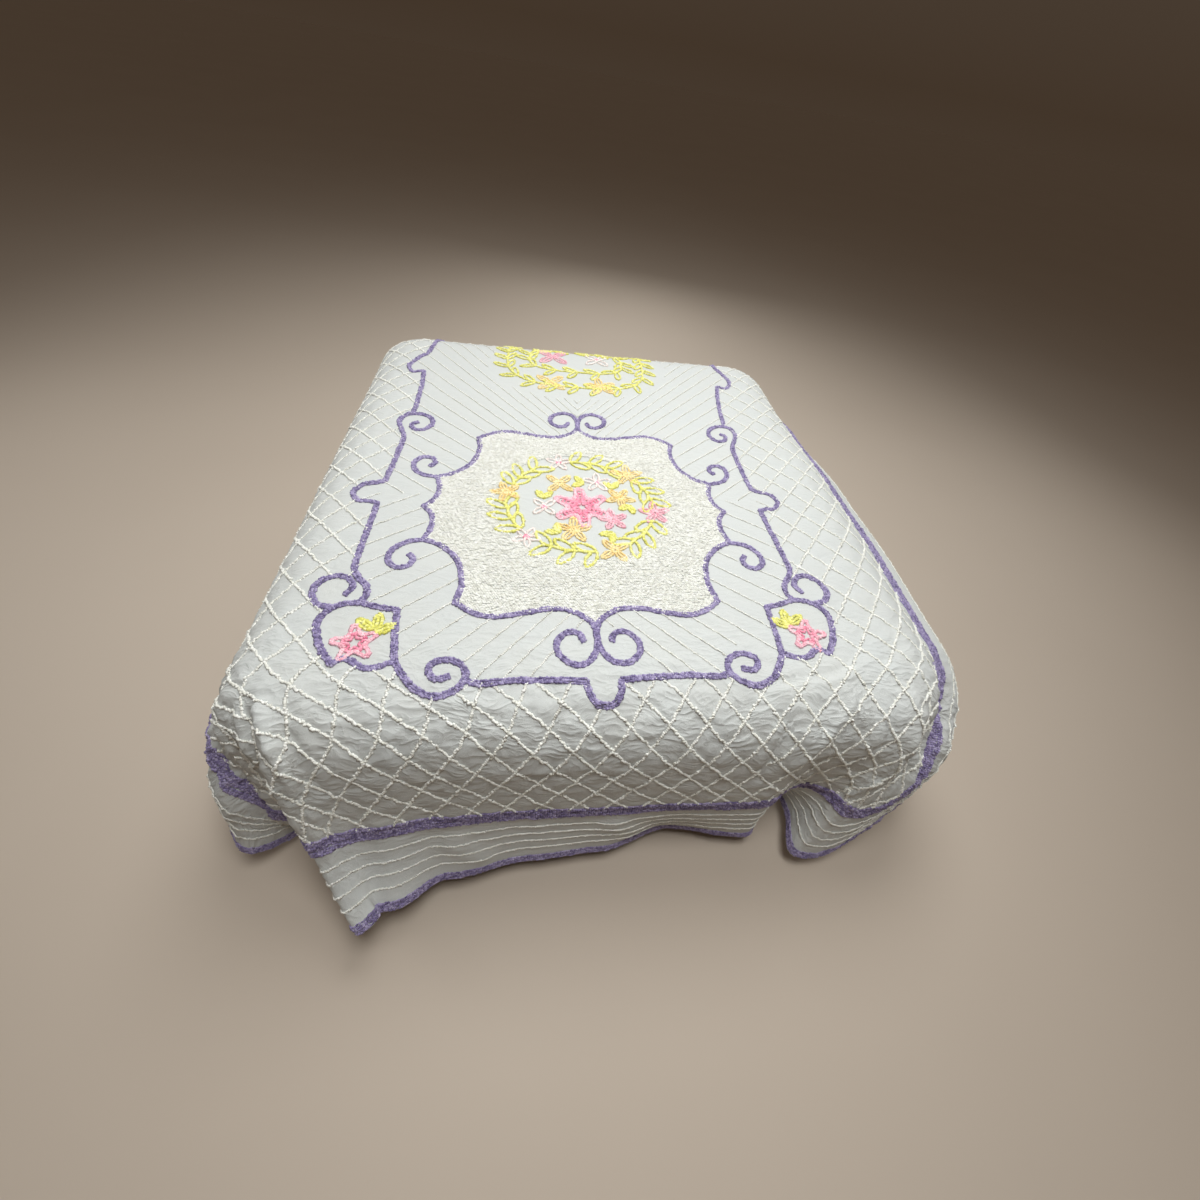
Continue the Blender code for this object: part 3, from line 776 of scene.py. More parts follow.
def new_tree(kind, name, inputs, outputs):
    """A node group with these sockets, by name and kind, and the ends of its given and its made values."""
    tree = bpy.data.node_groups.new(name, kind)
    for direction, sockets in (("INPUT", inputs), ("OUTPUT", outputs)):
        for socket, socket_kind in sockets.items():
            tree.interface.new_socket(socket, in_out=direction, socket_type="NodeSocket" + socket_kind)
    return tree, tree.nodes.new("NodeGroupInput").outputs, tree.nodes.new("NodeGroupOutput").inputs


def run_tree(piece, tree, values):
    """Runs geometry nodes on the piece, and keeps their result as its own plain mesh."""
    nodes = piece.modifiers.new(tree.name, "NODES")
    nodes.node_group = tree
    for socket in tree.interface.items_tree:
        if socket.in_out == "INPUT" and socket.name in values:
            nodes[socket.identifier] = values[socket.name]
    bpy.context.view_layer.update()
    graph = bpy.context.evaluated_depsgraph_get()
    finished = piece.evaluated_get(graph)
    made = bpy.data.meshes.new_from_object(finished, preserve_all_data_layers=True, depsgraph=graph)
    made.name = piece.name
    piece.modifiers.clear()
    piece.data = made


# ---------------------------------------------------------------- the sheet


def cell_lines(stops_and_cells):
    """Even lines between each stop and the next, an even number of cells about as wide as asked."""
    lines = [stops_and_cells[0][0]]
    for (start, cell), (stop, _) in zip(stops_and_cells, stops_and_cells[1:]):
        count = 2 * max(1, round((stop - start) / cell / 2))
        lines += [start + (stop - start) * step / count for step in range(1, count + 1)]
    return np.array(lines)


def round_foot_corners(across, along):
    """Draws the two foot corners of the cut rectangle in to a rounded outline."""
    past_side = np.abs(across) - (HALF_WIDTH - FOOT_CORNER_ROUND)
    past_foot = FOOT_HEM + FOOT_CORNER_ROUND - along
    in_corner = (past_side > 0) & (past_foot > 0)
    squeeze = np.maximum(past_side, past_foot) / np.maximum(np.hypot(past_side, past_foot), 1e-9)
    rounded_across = np.sign(across) * (HALF_WIDTH - FOOT_CORNER_ROUND + past_side * squeeze)
    rounded_along = FOOT_HEM + FOOT_CORNER_ROUND - past_foot * squeeze
    return np.where(in_corner, rounded_across, across), np.where(in_corner, rounded_along, along)


def make_cloth():
    """The sheet: a fine face, a coarser back a cloth's thickness under it, and a rim that joins them."""
    sides = [(-HALF_WIDTH, FINE_CELL), (CORE_LEFT, TOP_CELL), (CORE_RIGHT - TAPER, FINE_CELL)]
    sides.append((HALF_WIDTH, None))
    ends = [(FOOT_HEM, FINE_CELL), (CORE_FOOT, TOP_CELL), (CORE_HEAD, HEAD_CELL), (HEAD_HEM, None)]
    flat_across, flat_along = round_foot_corners(*np.meshgrid(cell_lines(sides), cell_lines(ends)))
    rows, columns = flat_across.shape
    face, normal = on_cloth(flat_across, flat_along)
    back = (face - normal * SHEET_THICKNESS)[::2, ::2]
    face_index = np.arange(rows * columns).reshape(rows, columns)
    back_index = rows * columns + np.arange(back.shape[0] * back.shape[1]).reshape(back.shape[:2])

    def quads(index):
        corners = (index[:-1, :-1], index[:-1, 1:], index[1:, 1:], index[1:, :-1])
        return np.stack([corner.ravel() for corner in corners], -1)

    rim = []
    sides_of = [
        (face_index[0], back_index[0]),
        (face_index[:, -1], back_index[:, -1]),
        (face_index[-1, ::-1], back_index[-1, ::-1]),
        (face_index[::-1, 0], back_index[::-1, 0]),
    ]
    for fine, coarse in sides_of:
        for place, (near, far) in enumerate(zip(coarse, coarse[1:])):
            first, second, third = fine[2 * place : 2 * place + 3]
            rim += [(second, first, near), (second, near, far), (third, second, far)]
    faces = quads(face_index).tolist() + quads(back_index)[:, ::-1].tolist() + np.array(rim).tolist()
    mesh_data = bpy.data.meshes.new("chenille_cloth")
    mesh_data.from_pydata(np.vstack([face.reshape(-1, 3), back.reshape(-1, 3)]).tolist(), [], faces)
    flat = np.stack([flat_across, flat_along], -1)
    flat = np.vstack([flat.reshape(-1, 2), flat[::2, ::2].reshape(-1, 2)])
    loops = np.empty(len(mesh_data.loops), np.int32)
    mesh_data.loops.foreach_get("vertex_index", loops)
    mesh_data.uv_layers.new(name="flat_cloth").data.foreach_set("uv", flat[loops].astype(np.float32).ravel())
    mesh_data.attributes.new("crumple", "FLOAT", "POINT").data.foreach_set(
        "value", crumple(flat[:, 0], flat[:, 1]).astype(np.float32)
    )
    mesh_data.shade_smooth()
    return new_object("chenille_cloth", mesh_data)


# ---------------------------------------------------------------- tufted rows


def tufted_row_tree():
    """Geometry nodes that set cut tufts along rows of edges, upright on the cloth."""
    inputs = {"Rows": "Geometry", "Pitch": "Float", "Tuft Length": "Float", "Tuft Width": "Float"}
    inputs |= {"Tuft Height": "Float", "Scatter": "Float", "Seed": "Int", "Finish": "Material"}
    tree, given, result = new_tree("GeometryNodeTree", "tufted_rows", inputs, {"Tufts": "Geometry"})

    def add(kind, settings=(), **inputs):
        return add_node(tree, kind, settings, **inputs)

    def random(kind, low, high, offset):
        """A random value for each tuft, with a draw of its own for each offset of the seed."""
        least, most, drawn = {"FLOAT_VECTOR": (0, 1, 0), "FLOAT": (2, 3, 1)}[kind]
        own_seed = maths(tree, "ADD", given["Seed"], float(offset))
        node = add("FunctionNodeRandomValue", {"data_type": kind}, Seed=own_seed)
        node.inputs[least].default_value, node.inputs[most].default_value = low, high
        return node.outputs[drawn]

    curves = add("GeometryNodeMeshToCurve", n0=given["Rows"]).outputs[0]
    even = add("GeometryNodeResampleCurve", {"mode": "LENGTH"}, Curve=curves, Length=given["Pitch"])
    normal = add("GeometryNodeInputNamedAttribute", {"data_type": "FLOAT_VECTOR"}, Name="cloth_normal")
    normal, tangent = normal.outputs[0], add("GeometryNodeInputTangent").outputs[0]
    aside = vector_maths(tree, "CROSS_PRODUCT", normal, n1=tangent)
    axes = {"primary_axis": "Z", "secondary_axis": "X"}
    upright = add("FunctionNodeAxesToRotation", axes, n0=normal, n1=tangent).outputs[0]
    drift = maths(tree, "MULTIPLY", random("FLOAT", -1.0, 1.0, 1), given["Scatter"])
    shift = vector_maths(tree, "SCALE", aside, Scale=drift)
    placed = add("GeometryNodeSetPosition", Geometry=even.outputs[0], Offset=shift).outputs[0]
    size = add("ShaderNodeCombineXYZ", X=given["Tuft Length"], Y=given["Tuft Width"], Z=given["Tuft Height"])
    scale = vector_maths(tree, "MULTIPLY", size.outputs[0], n1=random("FLOAT_VECTOR", *TUFT_SPREAD, 2))
    lean = add("FunctionNodeEulerToRotation", n0=random("FLOAT_VECTOR", *TUFT_LEAN, 3)).outputs[0]
    turned = add("FunctionNodeRotateRotation", {"rotation_space": "LOCAL"}, n0=upright, n1=lean).outputs[0]
    tuft = add("GeometryNodeMeshUVSphere", Segments=TUFT_SIDES, Rings=2, Radius=1.0).outputs[0]
    tuft = add("GeometryNodeTransform", Geometry=tuft, Translation=(0.0, 0.0, TUFT_SEAT)).outputs[0]
    tufts = add("GeometryNodeInstanceOnPoints", Points=placed, Instance=tuft, Rotation=turned, Scale=scale)
    on_instances = {"data_type": "FLOAT", "domain": "INSTANCE"}
    toned = add("GeometryNodeStoreNamedAttribute", on_instances, Geometry=tufts.outputs[0], Name="tone")
    tree.links.new(random("FLOAT", 0.0, 1.0, 4), toned.inputs["Value"])
    real = add("GeometryNodeRealizeInstances", Geometry=toned.outputs[0]).outputs[0]
    finished = add("GeometryNodeSetMaterial", Geometry=real, Material=given["Finish"]).outputs[0]
    rounded = add("GeometryNodeSetShadeSmooth", Geometry=finished).outputs[0]
    tree.links.new(rounded, result["Tufts"])
    return tree


def make_rows(tree, name, lines, finish, tuft, seed):
    """One piece of tufted rows, from lines on the flat cloth."""
    flat = np.vstack(lines)
    points, normals = on_cloth(flat[:, 0], flat[:, 1])
    edges, start = [], 0
    for line in lines:
        edges += [(index, index + 1) for index in range(start, start + len(line) - 1)]
        start += len(line)
    mesh_data = bpy.data.meshes.new(name)
    mesh_data.from_pydata(points.tolist(), edges, [])
    mesh_data.attributes.new("cloth_normal", "FLOAT_VECTOR", "POINT").data.foreach_set(
        "vector", normals.astype(np.float32).ravel()
    )
    piece = new_object(name, mesh_data)
    values = {
        "Pitch": tuft.pitch,
        "Tuft Length": tuft.length,
        "Tuft Width": tuft.width,
        "Tuft Height": tuft.height,
        "Scatter": tuft.scatter,
        "Seed": seed,
        "Finish": finish,
    }
    run_tree(piece, tree, values)
    if "cloth_normal" in piece.data.attributes:
        piece.data.attributes.remove(piece.data.attributes["cloth_normal"])
    return piece


# ---------------------------------------------------------------- the design's rows


def lattice_lines():
    """Both families of the diamond lattice, cut to the cloth outside the frame and inside the band."""
    along = np.arange(FOOT_HEM, HEAD_HEM, ROW_STEP)
    closeness, aside = gather(along)
    made = []
    for family in (-1, 1):
        for count in range(-LATTICE_ROWS_EACH_WAY, LATTICE_ROWS_EACH_WAY + 1):
            sideways = count - family * (along - LATTICE_NODE[1]) / LATTICE_ALONG
            across = (LATTICE_NODE[0] - aside + sideways * LATTICE_ACROSS) / closeness
            lattice, _, _ = zones(across, along)
            lattice &= np.abs(across) < HALF_WIDTH
            made += kept_runs(np.stack([across, along], -1), lattice)
    return [laid(line) for line in made]


def slanted_lines():
    """The slanted rows of each quarter of the frame."""
    across = np.arange(0.0, SLANTS_REACH, ROW_STEP)
    made = []
    for slants, headward in ((HEADWARD_SLANTS, True), (FOOTWARD_SLANTS, False)):
        for place, rise in slants:
            along = place + rise * (across - SLANT_PLACE)
            _, slanted, _ = zones(across, along)
            made += kept_runs(np.stack([across, along], -1), slanted & ((along > SLANT_TURN) == headward))
    return [laid(line) for line in mirrored(made)]


def rib_lines():
    return [edge_ring(depth) for depth in RIB_PLACES]


def hem_lines():
    gap = (HEM_INNER - HEM_OUTER) / HEM_LANES
    return [edge_ring(HEM_OUTER + gap * (lane + 0.5)) for lane in range(HEM_LANES)]


def band_lines():
    """The band's lanes, with a fine parting a third of the way in from its outer side."""
    gap = (BAND_INNER - BAND_OUTER - BAND_PARTING_WIDTH) / BAND_LANES
    made = []
    for lane in range(BAND_LANES):
        parting = BAND_PARTING_WIDTH if lane >= BAND_PARTING else 0.0
        made.append(edge_ring(BAND_OUTER + gap * (lane + 0.5) + parting))
    return made


def frame_lines():
    """The purple outlines of the medallion and the frame, with their scrolls, three lanes wide."""
    quarter = [MEDALLION_END, MEDALLION_SIDE, MEDALLION_WAIST, SIDE_SCROLL, CENTRE_SCROLL]
    half = [PENDANT, FOOT_LINE, FOOT_SCROLL, SHIELD_INNER, SHIELD_HEAD, SHIELD_HEAD_OUTER, SHIELD_OUTER]
    half += [SHIELD_FOOT, CORNER_SCROLL, SIDE_LINE, SIDE_PENDANT]
    half += [UPPER_SCROLL, UPPER_LINE, UPPER_PENDANT, HEAD_LINE]
    outlines = mirrored([smooth(line) for line in quarter], ends=True)
    outlines += mirrored([smooth(line) for line in half])
    made = []
    for outline in outlines:
        made += lanes(laid(outline), FRAME_LANES)
    return made


def pile_lines():
    """Close rows across the medallion, all but the wreath's round."""
    made = []
    for row, along in enumerate(np.arange(-PILE_REACH[1], PILE_REACH[1], PILE_ROW_GAP)):
        across = np.arange(-PILE_REACH[0], PILE_REACH[0], ROW_STEP) + (row % 2) * FINE_STEP
        line = np.stack([across, np.full_like(across, along)], -1)
        cloth = laid(line)
        keep = inside(MEDALLION_OUTLINE, across, line[:, 1])
        keep &= ~in_oval(WREATH_MIDDLE, WREATH_BARE, cloth[:, 0], cloth[:, 1])
        made += kept_runs(cloth, keep)
    return made


def loop(middle, radii, angle, scale=1.0):
    """A leaf's or petal's closed outline, pointed at both ends: radii along and aside, angle in radians."""
    turn = np.linspace(0.0, 2 * np.pi, LEAF_POINTS)
    ahead = scale * radii[0] * np.cos(turn)
    aside = scale * radii[1] * np.sin(turn) * np.abs(np.sin(turn)) ** LEAF_POINTEDNESS
    across = middle[0] + ahead * np.cos(angle) - aside * np.sin(angle)
    along = middle[1] + ahead * np.sin(angle) + aside * np.cos(angle)
    return evenly(np.stack([across, along], -1), FINE_STEP)


def leaf(foot, angle, length=LEAF_LENGTH, width=LEAF_WIDTH, filled=False):
    """A leaf from its foot, at an angle in degrees: a loop, with a row down its middle where it is filled."""
    turn = radians(angle)
    ahead = np.array([cos(turn), sin(turn)])
    made = [loop(foot + ahead * length / 2, (length / 2, width / 2), turn)]
    if filled:
        made.append(evenly([foot + ahead * share * length for share in LEAF_ROW], FINE_STEP))
    return made


def on_ring(middle, radii, angles, squareness=2.0):
    """Points of a ring at angles in degrees: an oval at a squareness of 2, and squarer above it."""
    turn = np.radians(angles)
    reach = (np.abs(np.cos(turn)) ** squareness + np.abs(np.sin(turn)) ** squareness) ** (-1 / squareness)
    across = middle[0] + radii[0] * reach * np.cos(turn)
    along = middle[1] + radii[1] * reach * np.sin(turn)
    return np.stack([across, along], -1)


def sprigs(middle, radii, angles, length, width, squareness=2.0, filled=False):
    """Pairs of leaves round a ring, pointing on round it clockwise, one outward and one inward of it."""
    made = []
    for angle in angles:
        foot, ahead = on_ring(middle, radii, np.array([angle, angle - 2.0]), squareness)
        onward = np.degrees(np.arctan2(ahead[1] - foot[1], ahead[0] - foot[0]))
        for spread in LEAF_SPREAD:
            made += leaf(foot, onward + spread, length, width, filled)
    return made


def stems(middle, radii, angles, squareness=2.0):
    """The stem between neighbouring sprigs, where no flower parts them."""
    made = []
    for start, end in zip(angles, angles[1:]):
        if abs(start - end) < LONGEST_STEM:
            line = on_ring(middle, radii, np.linspace(start, end, STEM_POINTS), squareness)
            made.append(evenly(line, FINE_STEP))
    return made


def leaf_lines():
    """The leaves and stems of both wreaths, the small leaves in the first one, and the shields' leaves."""
    made = sprigs(WREATH_MIDDLE, WREATH_RADII, WREATH_SPRIGS, LEAF_LENGTH, LEAF_WIDTH)
    made += stems(WREATH_MIDDLE, WREATH_RADII, WREATH_SPRIGS)
    for across, along, angle in SMALL_LEAVES:
        for spread in SMALL_LEAF_SPREAD:
            made += leaf(np.array([across, along]), angle + spread, *SMALL_LEAF_SIZE, filled=True)
    for radii, count in HEAD_RINGS:
        angles = np.linspace(90, -270, count, endpoint=False)
        size = (HEAD_LEAF_LENGTH, HEAD_LEAF_WIDTH, HEAD_SQUARENESS)
        made += sprigs(HEAD_WREATH_MIDDLE, radii, angles, *size)
        made += stems(HEAD_WREATH_MIDDLE, radii, angles, HEAD_SQUARENESS)
    for side in (-1, 1):
        for across, along, angle in SHIELD_LEAVES:
            foot = laid((side * across, along))
            angle = angle if side > 0 else 180 - angle
            made += leaf(foot, angle, SHIELD_LEAF_LENGTH, SHIELD_LEAF_WIDTH, filled=True)
    return made


def flower_lines(flowers, filled=True, heart=True):
    """Flowers of a few petals, each an outline with a row down it where filled, and knots for their hearts."""
    made = []
    for flower in flowers:
        middle = np.array([flower.across, flower.along])
        for petal in range(flower.petals):
            angle = flower.turn + 360 * petal / flower.petals
            turn = radians(angle)
            foot = middle + PETAL_START * flower.reach * np.array([cos(turn), sin(turn)])
            made += leaf(foot, angle, PETAL_LENGTH * flower.reach, PETAL_WIDTH * flower.reach, filled)
        if heart:
            made.append(loop(middle, (KNOT_RADIUS, KNOT_RADIUS), 0.0))
    return made


def star(middle, tips, outer, waist, turn, scale=1.0):
    """A star's closed outline with rounded tips."""
    corners = []
    for tip in range(tips):
        heading = turn + 360.0 * tip / tips
        corners += [(heading - STAR_TIP, outer), (heading + STAR_TIP, outer), (heading + 180.0 / tips, waist)]
    angles, reach = np.array(corners).T
    turned, reach = np.radians(angles), reach * scale
    ring = np.stack([middle[0] + reach * np.cos(turned), middle[1] + reach * np.sin(turned)], -1)
    return evenly(smooth(np.vstack([ring, ring[:1]]), FINE_STEP), FINE_STEP)


def shield_stars():
    """The middle of each shield's star and the direction of its first tip."""
    made = []
    for side in (-1, 1):
        turn = SHIELD_STAR_TURN if side > 0 else 180 - SHIELD_STAR_TURN
        made.append((laid((side * SHIELD_STAR[0], SHIELD_STAR[1])), turn))
    return made


def deep_pink_lines():
    """The hearts of the big star and of the shields' stars, and the pale flowers' knots."""
    big = (STAR_MIDDLE, STAR_TIPS, STAR_HEART, STAR_HEART_WAIST, STAR_TURN)
    made = [star(*big, scale) for scale in STAR_HEART_SCALES]
    small = (SHIELD_STAR_TIPS, SHIELD_HEART, SHIELD_HEART_WAIST)
    made += [star(middle, *small, turn) for middle, turn in shield_stars()]
    for flower in PALE_FLOWERS:
        made += [loop((flower.across, flower.along), (radius, radius), 0.0) for radius in PALE_KNOT_RADII]
    return made


def pink_lines():
    """The big star and the shields' stars, each in lanes, and the pink flowers."""
    made = []
    for gap in STAR_LANES:
        made.append(star(STAR_MIDDLE, STAR_TIPS, STAR_OUTER + gap, STAR_WAIST + gap, STAR_TURN))
    for middle, turn in shield_stars():
        for gap in STAR_LANES[:2]:
            outer, waist = SHIELD_STAR_OUTER + gap, SHIELD_STAR_WAIST + gap
            made.append(star(middle, SHIELD_STAR_TIPS, outer, waist, turn))
    return made + flower_lines(PINK_FLOWERS)


def pale_lines():
    return flower_lines(PALE_FLOWERS, filled=False, heart=False)


# ---------------------------------------------------------------- finishes


def new_material(name, roughness, sheen=0.0):
    """A material of this roughness and sheen, with its tree and its shader's inputs."""
    made = bpy.data.materials.new(name)
    made.use_nodes = True
    inputs = made.node_tree.nodes["Principled BSDF"].inputs
    inputs["Roughness"].default_value = roughness
    inputs["Sheen Weight"].default_value = sheen
    inputs["Sheen Roughness"].default_value = SHEEN_ROUGHNESS
    inputs["Specular IOR Level"].default_value = SPECULAR_LEVEL
    return made, made.node_tree, inputs


def raise_by(tree, shader, height, strength):
    """Bumps the shader's surface by a height in metres."""
    bump = add_node(tree, "ShaderNodeBump", Strength=strength, Distance=1.0, Height=height)
    tree.links.new(bump.outputs[0], shader["Normal"])


def blend_colours(tree, share, first, second):
    """The first colour, with a share of the second. Each is three numbers or a socket."""
    mix = add_node(tree, "ShaderNodeMix", {"data_type": "RGBA"}, n0=share)
    for index, value in ((6, first), (7, second)):
        if isinstance(value, bpy.types.NodeSocket):
            tree.links.new(value, mix.inputs[index])
        else:
            mix.inputs[index].default_value = (*value, 1.0)
    return mix.outputs[2]


def unevenness(tree, place, scale, detail):
    """A noise texture's value and colour."""
    return add_node(tree, "ShaderNodeTexNoise", Vector=place, Scale=scale, Detail=detail).outputs


def weave_group():
    """Plain weave with slubs and crinkles: its height in metres, its thicker yarns, and soft clouds."""
    inputs = {"Place": "Vector", "Yarn Gap": "Float", "Crinkle Size": "Float", "Crinkle Height": "Float"}
    outputs = {"Height": "Float", "Slubs": "Float", "Cloud": "Float"}
    group, given, result = new_tree("ShaderNodeTree", "plain_weave", inputs, outputs)
    place = given["Place"]
    per_metre = maths(group, "DIVIDE", 1.0, given["Yarn Gap"])
    parts = add_node(group, "ShaderNodeSeparateXYZ", n0=place)
    yarns = []
    for axis in ("X", "Y"):
        turns = maths(group, "MULTIPLY", maths(group, "MULTIPLY", parts.outputs[axis], per_metre), tau)
        yarns.append(maths(group, "SINE", turns))
    woven = maths(group, "MULTIPLY", *yarns)
    slubs = unevenness(group, vector_maths(group, "MULTIPLY", place, n1=SLUB_SCALES), 1.0, 2.0)[0]
    kinks = vector_maths(group, "SCALE", unevenness(group, place, KINK_SCALE, 1.0)[1], Scale=CRINKLE_KINK)
    bent = vector_maths(group, "ADD", place, n1=kinks)
    stretched = vector_maths(group, "MULTIPLY", bent, n1=CRINKLE_STRETCH)
    ridges = {"noise_type": "RIDGED_MULTIFRACTAL"}
    crinkles = add_node(group, "ShaderNodeTexNoise", ridges, Vector=stretched, Detail=1.0, Roughness=0.5)
    crinkles.inputs["Offset"].default_value, crinkles.inputs["Gain"].default_value = 1.0, CRINKLE_SHARPNESS
    group.links.new(maths(group, "DIVIDE", 1.0, given["Crinkle Size"]), crinkles.inputs["Scale"])
    height = maths(group, "MULTIPLY", woven, YARN_RELIEF)
    height = maths(group, "ADD", height, maths(group, "MULTIPLY", slubs, SLUB_RELIEF))
    crinkled = maths(group, "MULTIPLY", crinkles.outputs[0], given["Crinkle Height"])
    height = maths(group, "ADD", height, crinkled)
    group.links.new(height, result["Height"])
    group.links.new(slubs, result["Slubs"])
    group.links.new(unevenness(group, place, CLOUD_SCALE, 4.0)[0], result["Cloud"])
    return group


def pile_group():
    """Cut chenille pile: its height in metres, each tuft's tone with fibres in it, and where it fades."""
    inputs = {"Place": "Vector", "Tuft Tone": "Float", "Fibre Size": "Float"}
    outputs = {"Height": "Float", "Tone": "Float", "Fade": "Float"}
    group, given, result = new_tree("ShaderNodeTree", "chenille_pile", inputs, outputs)
    place = given["Place"]
    fibres = unevenness(group, place, maths(group, "DIVIDE", 1.0, given["Fibre Size"]), 2.0)[0]
    clumps = maths(group, "MULTIPLY", unevenness(group, place, CLUMP_SCALE, 2.0)[0], CLUMP_TONE)
    tone = maths(group, "MULTIPLY", given["Tuft Tone"], TUFT_TONE)
    tone = maths(group, "ADD", tone, maths(group, "MULTIPLY", fibres, FIBRE_TONE))
    tone = maths(group, "ADD", tone, maths(group, "SUBTRACT", clumps, CLUMP_TONE / 2))
    group.links.new(maths(group, "MULTIPLY", fibres, FIBRE_RELIEF), result["Height"])
    group.links.new(tone, result["Tone"])
    group.links.new(unevenness(group, place, FADE_SCALE, 2.0)[0], result["Fade"])
    return group


def cotton_ground(weave):
    """The sheeting, on the flat cloth's own coordinates, crinkled where the cloth is crumpled."""
    made, tree, shader = new_material("cotton_ground_cloth", 0.92, 0.08)
    place = add_node(tree, "ShaderNodeUVMap", {"uv_map": "flat_cloth"}).outputs[0]
    crumpled = add_node(tree, "ShaderNodeAttribute", {"attribute_name": "crumple"}).outputs["Fac"]
    cloth = add_node(tree, "ShaderNodeGroup", {"node_tree": weave}, Place=place, Yarn_Gap=GROUND_YARN_GAP)
    cloth.inputs["Crinkle Size"].default_value = CRINKLE_SIZE
    tree.links.new(maths(tree, "MULTIPLY", crumpled, CRINKLE_HEIGHT), cloth.inputs["Crinkle Height"])
    body = blend_colours(tree, cloth.outputs["Cloud"], GROUND_WARM, GROUND_COOL)
    slubs = maths(tree, "MULTIPLY", cloth.outputs["Slubs"], SLUB_SHARE)
    tree.links.new(blend_colours(tree, slubs, body, GROUND_SLUB), shader["Base Color"])
    raise_by(tree, shader, cloth.outputs["Height"], GROUND_BUMP)
    return made


def chenille(pile, name, dark, middle, light, fade):
    """Chenille dyed in one colour: its darkest, usual and palest tufts, and what it has faded towards."""
    made, tree, shader = new_material(name, 0.96, 0.18)
    place = add_node(tree, "ShaderNodeTexCoord").outputs["Object"]
    tuft = add_node(tree, "ShaderNodeAttribute", {"attribute_name": "tone"}).outputs["Fac"]
    yarn = add_node(tree, "ShaderNodeGroup", {"node_tree": pile}, Place=place, Tuft_Tone=tuft)
    yarn.inputs["Fibre Size"].default_value = FIBRE_SIZE
    ramp = add_node(tree, "ShaderNodeValToRGB", n0=yarn.outputs["Tone"])
    stops = ramp.color_ramp.elements
    stops[0].position, stops[0].color = DYE_TONES[0], (*dark, 1.0)
    stops[1].position, stops[1].color = DYE_TONES[2], (*light, 1.0)
    usual = stops.new(DYE_TONES[1])
    usual.color = (*middle, 1.0)
    faded = maths(tree, "MULTIPLY", yarn.outputs["Fade"], FADED_SHARE)
    tree.links.new(blend_colours(tree, faded, ramp.outputs[0], fade), shader["Base Color"])
    raise_by(tree, shader, yarn.outputs["Height"], PILE_BUMP)
    return made


def woven_cover(weave, name, light, dark, yarn_gap, roughness, striped=False):
    """A plain woven cover on Object coordinates, with narrow stripes where it is striped."""
    made, tree, shader = new_material(name, roughness, 0.05)
    place = add_node(tree, "ShaderNodeTexCoord").outputs["Object"]
    cloth = add_node(tree, "ShaderNodeGroup", {"node_tree": weave}, Place=place, Yarn_Gap=yarn_gap)
    cloth.inputs["Crinkle Size"].default_value = COVER_CRINKLE_SIZE
    cloth.inputs["Crinkle Height"].default_value = COVER_CRINKLE_HEIGHT
    colour = blend_colours(tree, cloth.outputs["Slubs"], light, dark)
    if striped:
        parts = add_node(tree, "ShaderNodeSeparateXYZ", n0=place)
        part = maths(tree, "PINGPONG", maths(tree, "ADD", parts.outputs["X"], parts.outputs["Y"]), STRIPE_GAP)
        stripe = maths(tree, "MULTIPLY", maths(tree, "LESS_THAN", part, STRIPE_HALF_WIDTH), STRIPE_SHARE)
        colour = blend_colours(tree, stripe, colour, STRIPE_BLUE)
    tree.links.new(colour, shader["Base Color"])
    raise_by(tree, shader, cloth.outputs["Height"], COVER_BUMP)
    return made


def floor_finish():
    made, tree, shader = new_material("pale_floor", 0.7)
    place = add_node(tree, "ShaderNodeTexCoord").outputs["Object"]
    cloud = unevenness(tree, place, FLOOR_CLOUD_SCALE, 3.0)[0]
    tree.links.new(blend_colours(tree, cloud, FLOOR_LIGHT, FLOOR_DARK), shader["Base Color"])
    return made


# ---------------------------------------------------------------- the mattress


def mattress_outline(half_width, half_length, inset):
    """The rounded outline this far inside a mattress of these half sizes, anticlockwise."""
    corner = MATTRESS_CORNER - CORNER_TIGHTENING * inset
    made = []
    for quarter, (side, end) in enumerate(((1, -1), (1, 1), (-1, 1), (-1, -1))):
        turn = np.radians(np.linspace(-90, 0, MATTRESS_CORNER_STEPS + 1) + 90 * quarter)
        middle = (side * (half_width - inset - corner), end * (half_length - inset - corner))
        made.append(np.stack([middle[0] + corner * np.cos(turn), middle[1] + corner * np.sin(turn)], -1))
    return np.vstack(made)


def make_mattress(finish):
    """The mattress as rings, from its middle underneath to its middle on top, inside the block's outline."""
    low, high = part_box("mattress")
    middle, depth = (low.z + high.z) / 2, high.z - low.z

    def ring(inset, height, share=1.0):
        outline = mattress_outline(high.x - PIPING_RADIUS, high.y - PIPING_RADIUS, inset) * share
        return [mesh.verts.new((*point, height)) for point in outline]

    mesh = bmesh.new()
    rings = [ring(MATTRESS_EDGE, low.z, share) for share in FACE_RINGS]
    for slope in np.radians(np.linspace(-90, 90, EDGE_RINGS)):
        rings.append(ring(MATTRESS_EDGE * (1 - cos(slope)), middle + depth / 2 * sin(slope)))
    rings += [ring(MATTRESS_EDGE, high.z, share) for share in FACE_RINGS[::-1]]
    for lower, upper in zip(rings, rings[1:]):
        for place in range(len(lower)):
            onward = (place + 1) % len(lower)
            mesh.faces.new((lower[place], lower[onward], upper[onward], upper[place]))
    mesh.faces.new(rings[0][::-1])
    mesh.faces.new(rings[-1])
    cover = object_from(mesh, "mattress_cover")
    cover.data.shade_smooth()
    cover.data.materials.append(finish)
    return cover


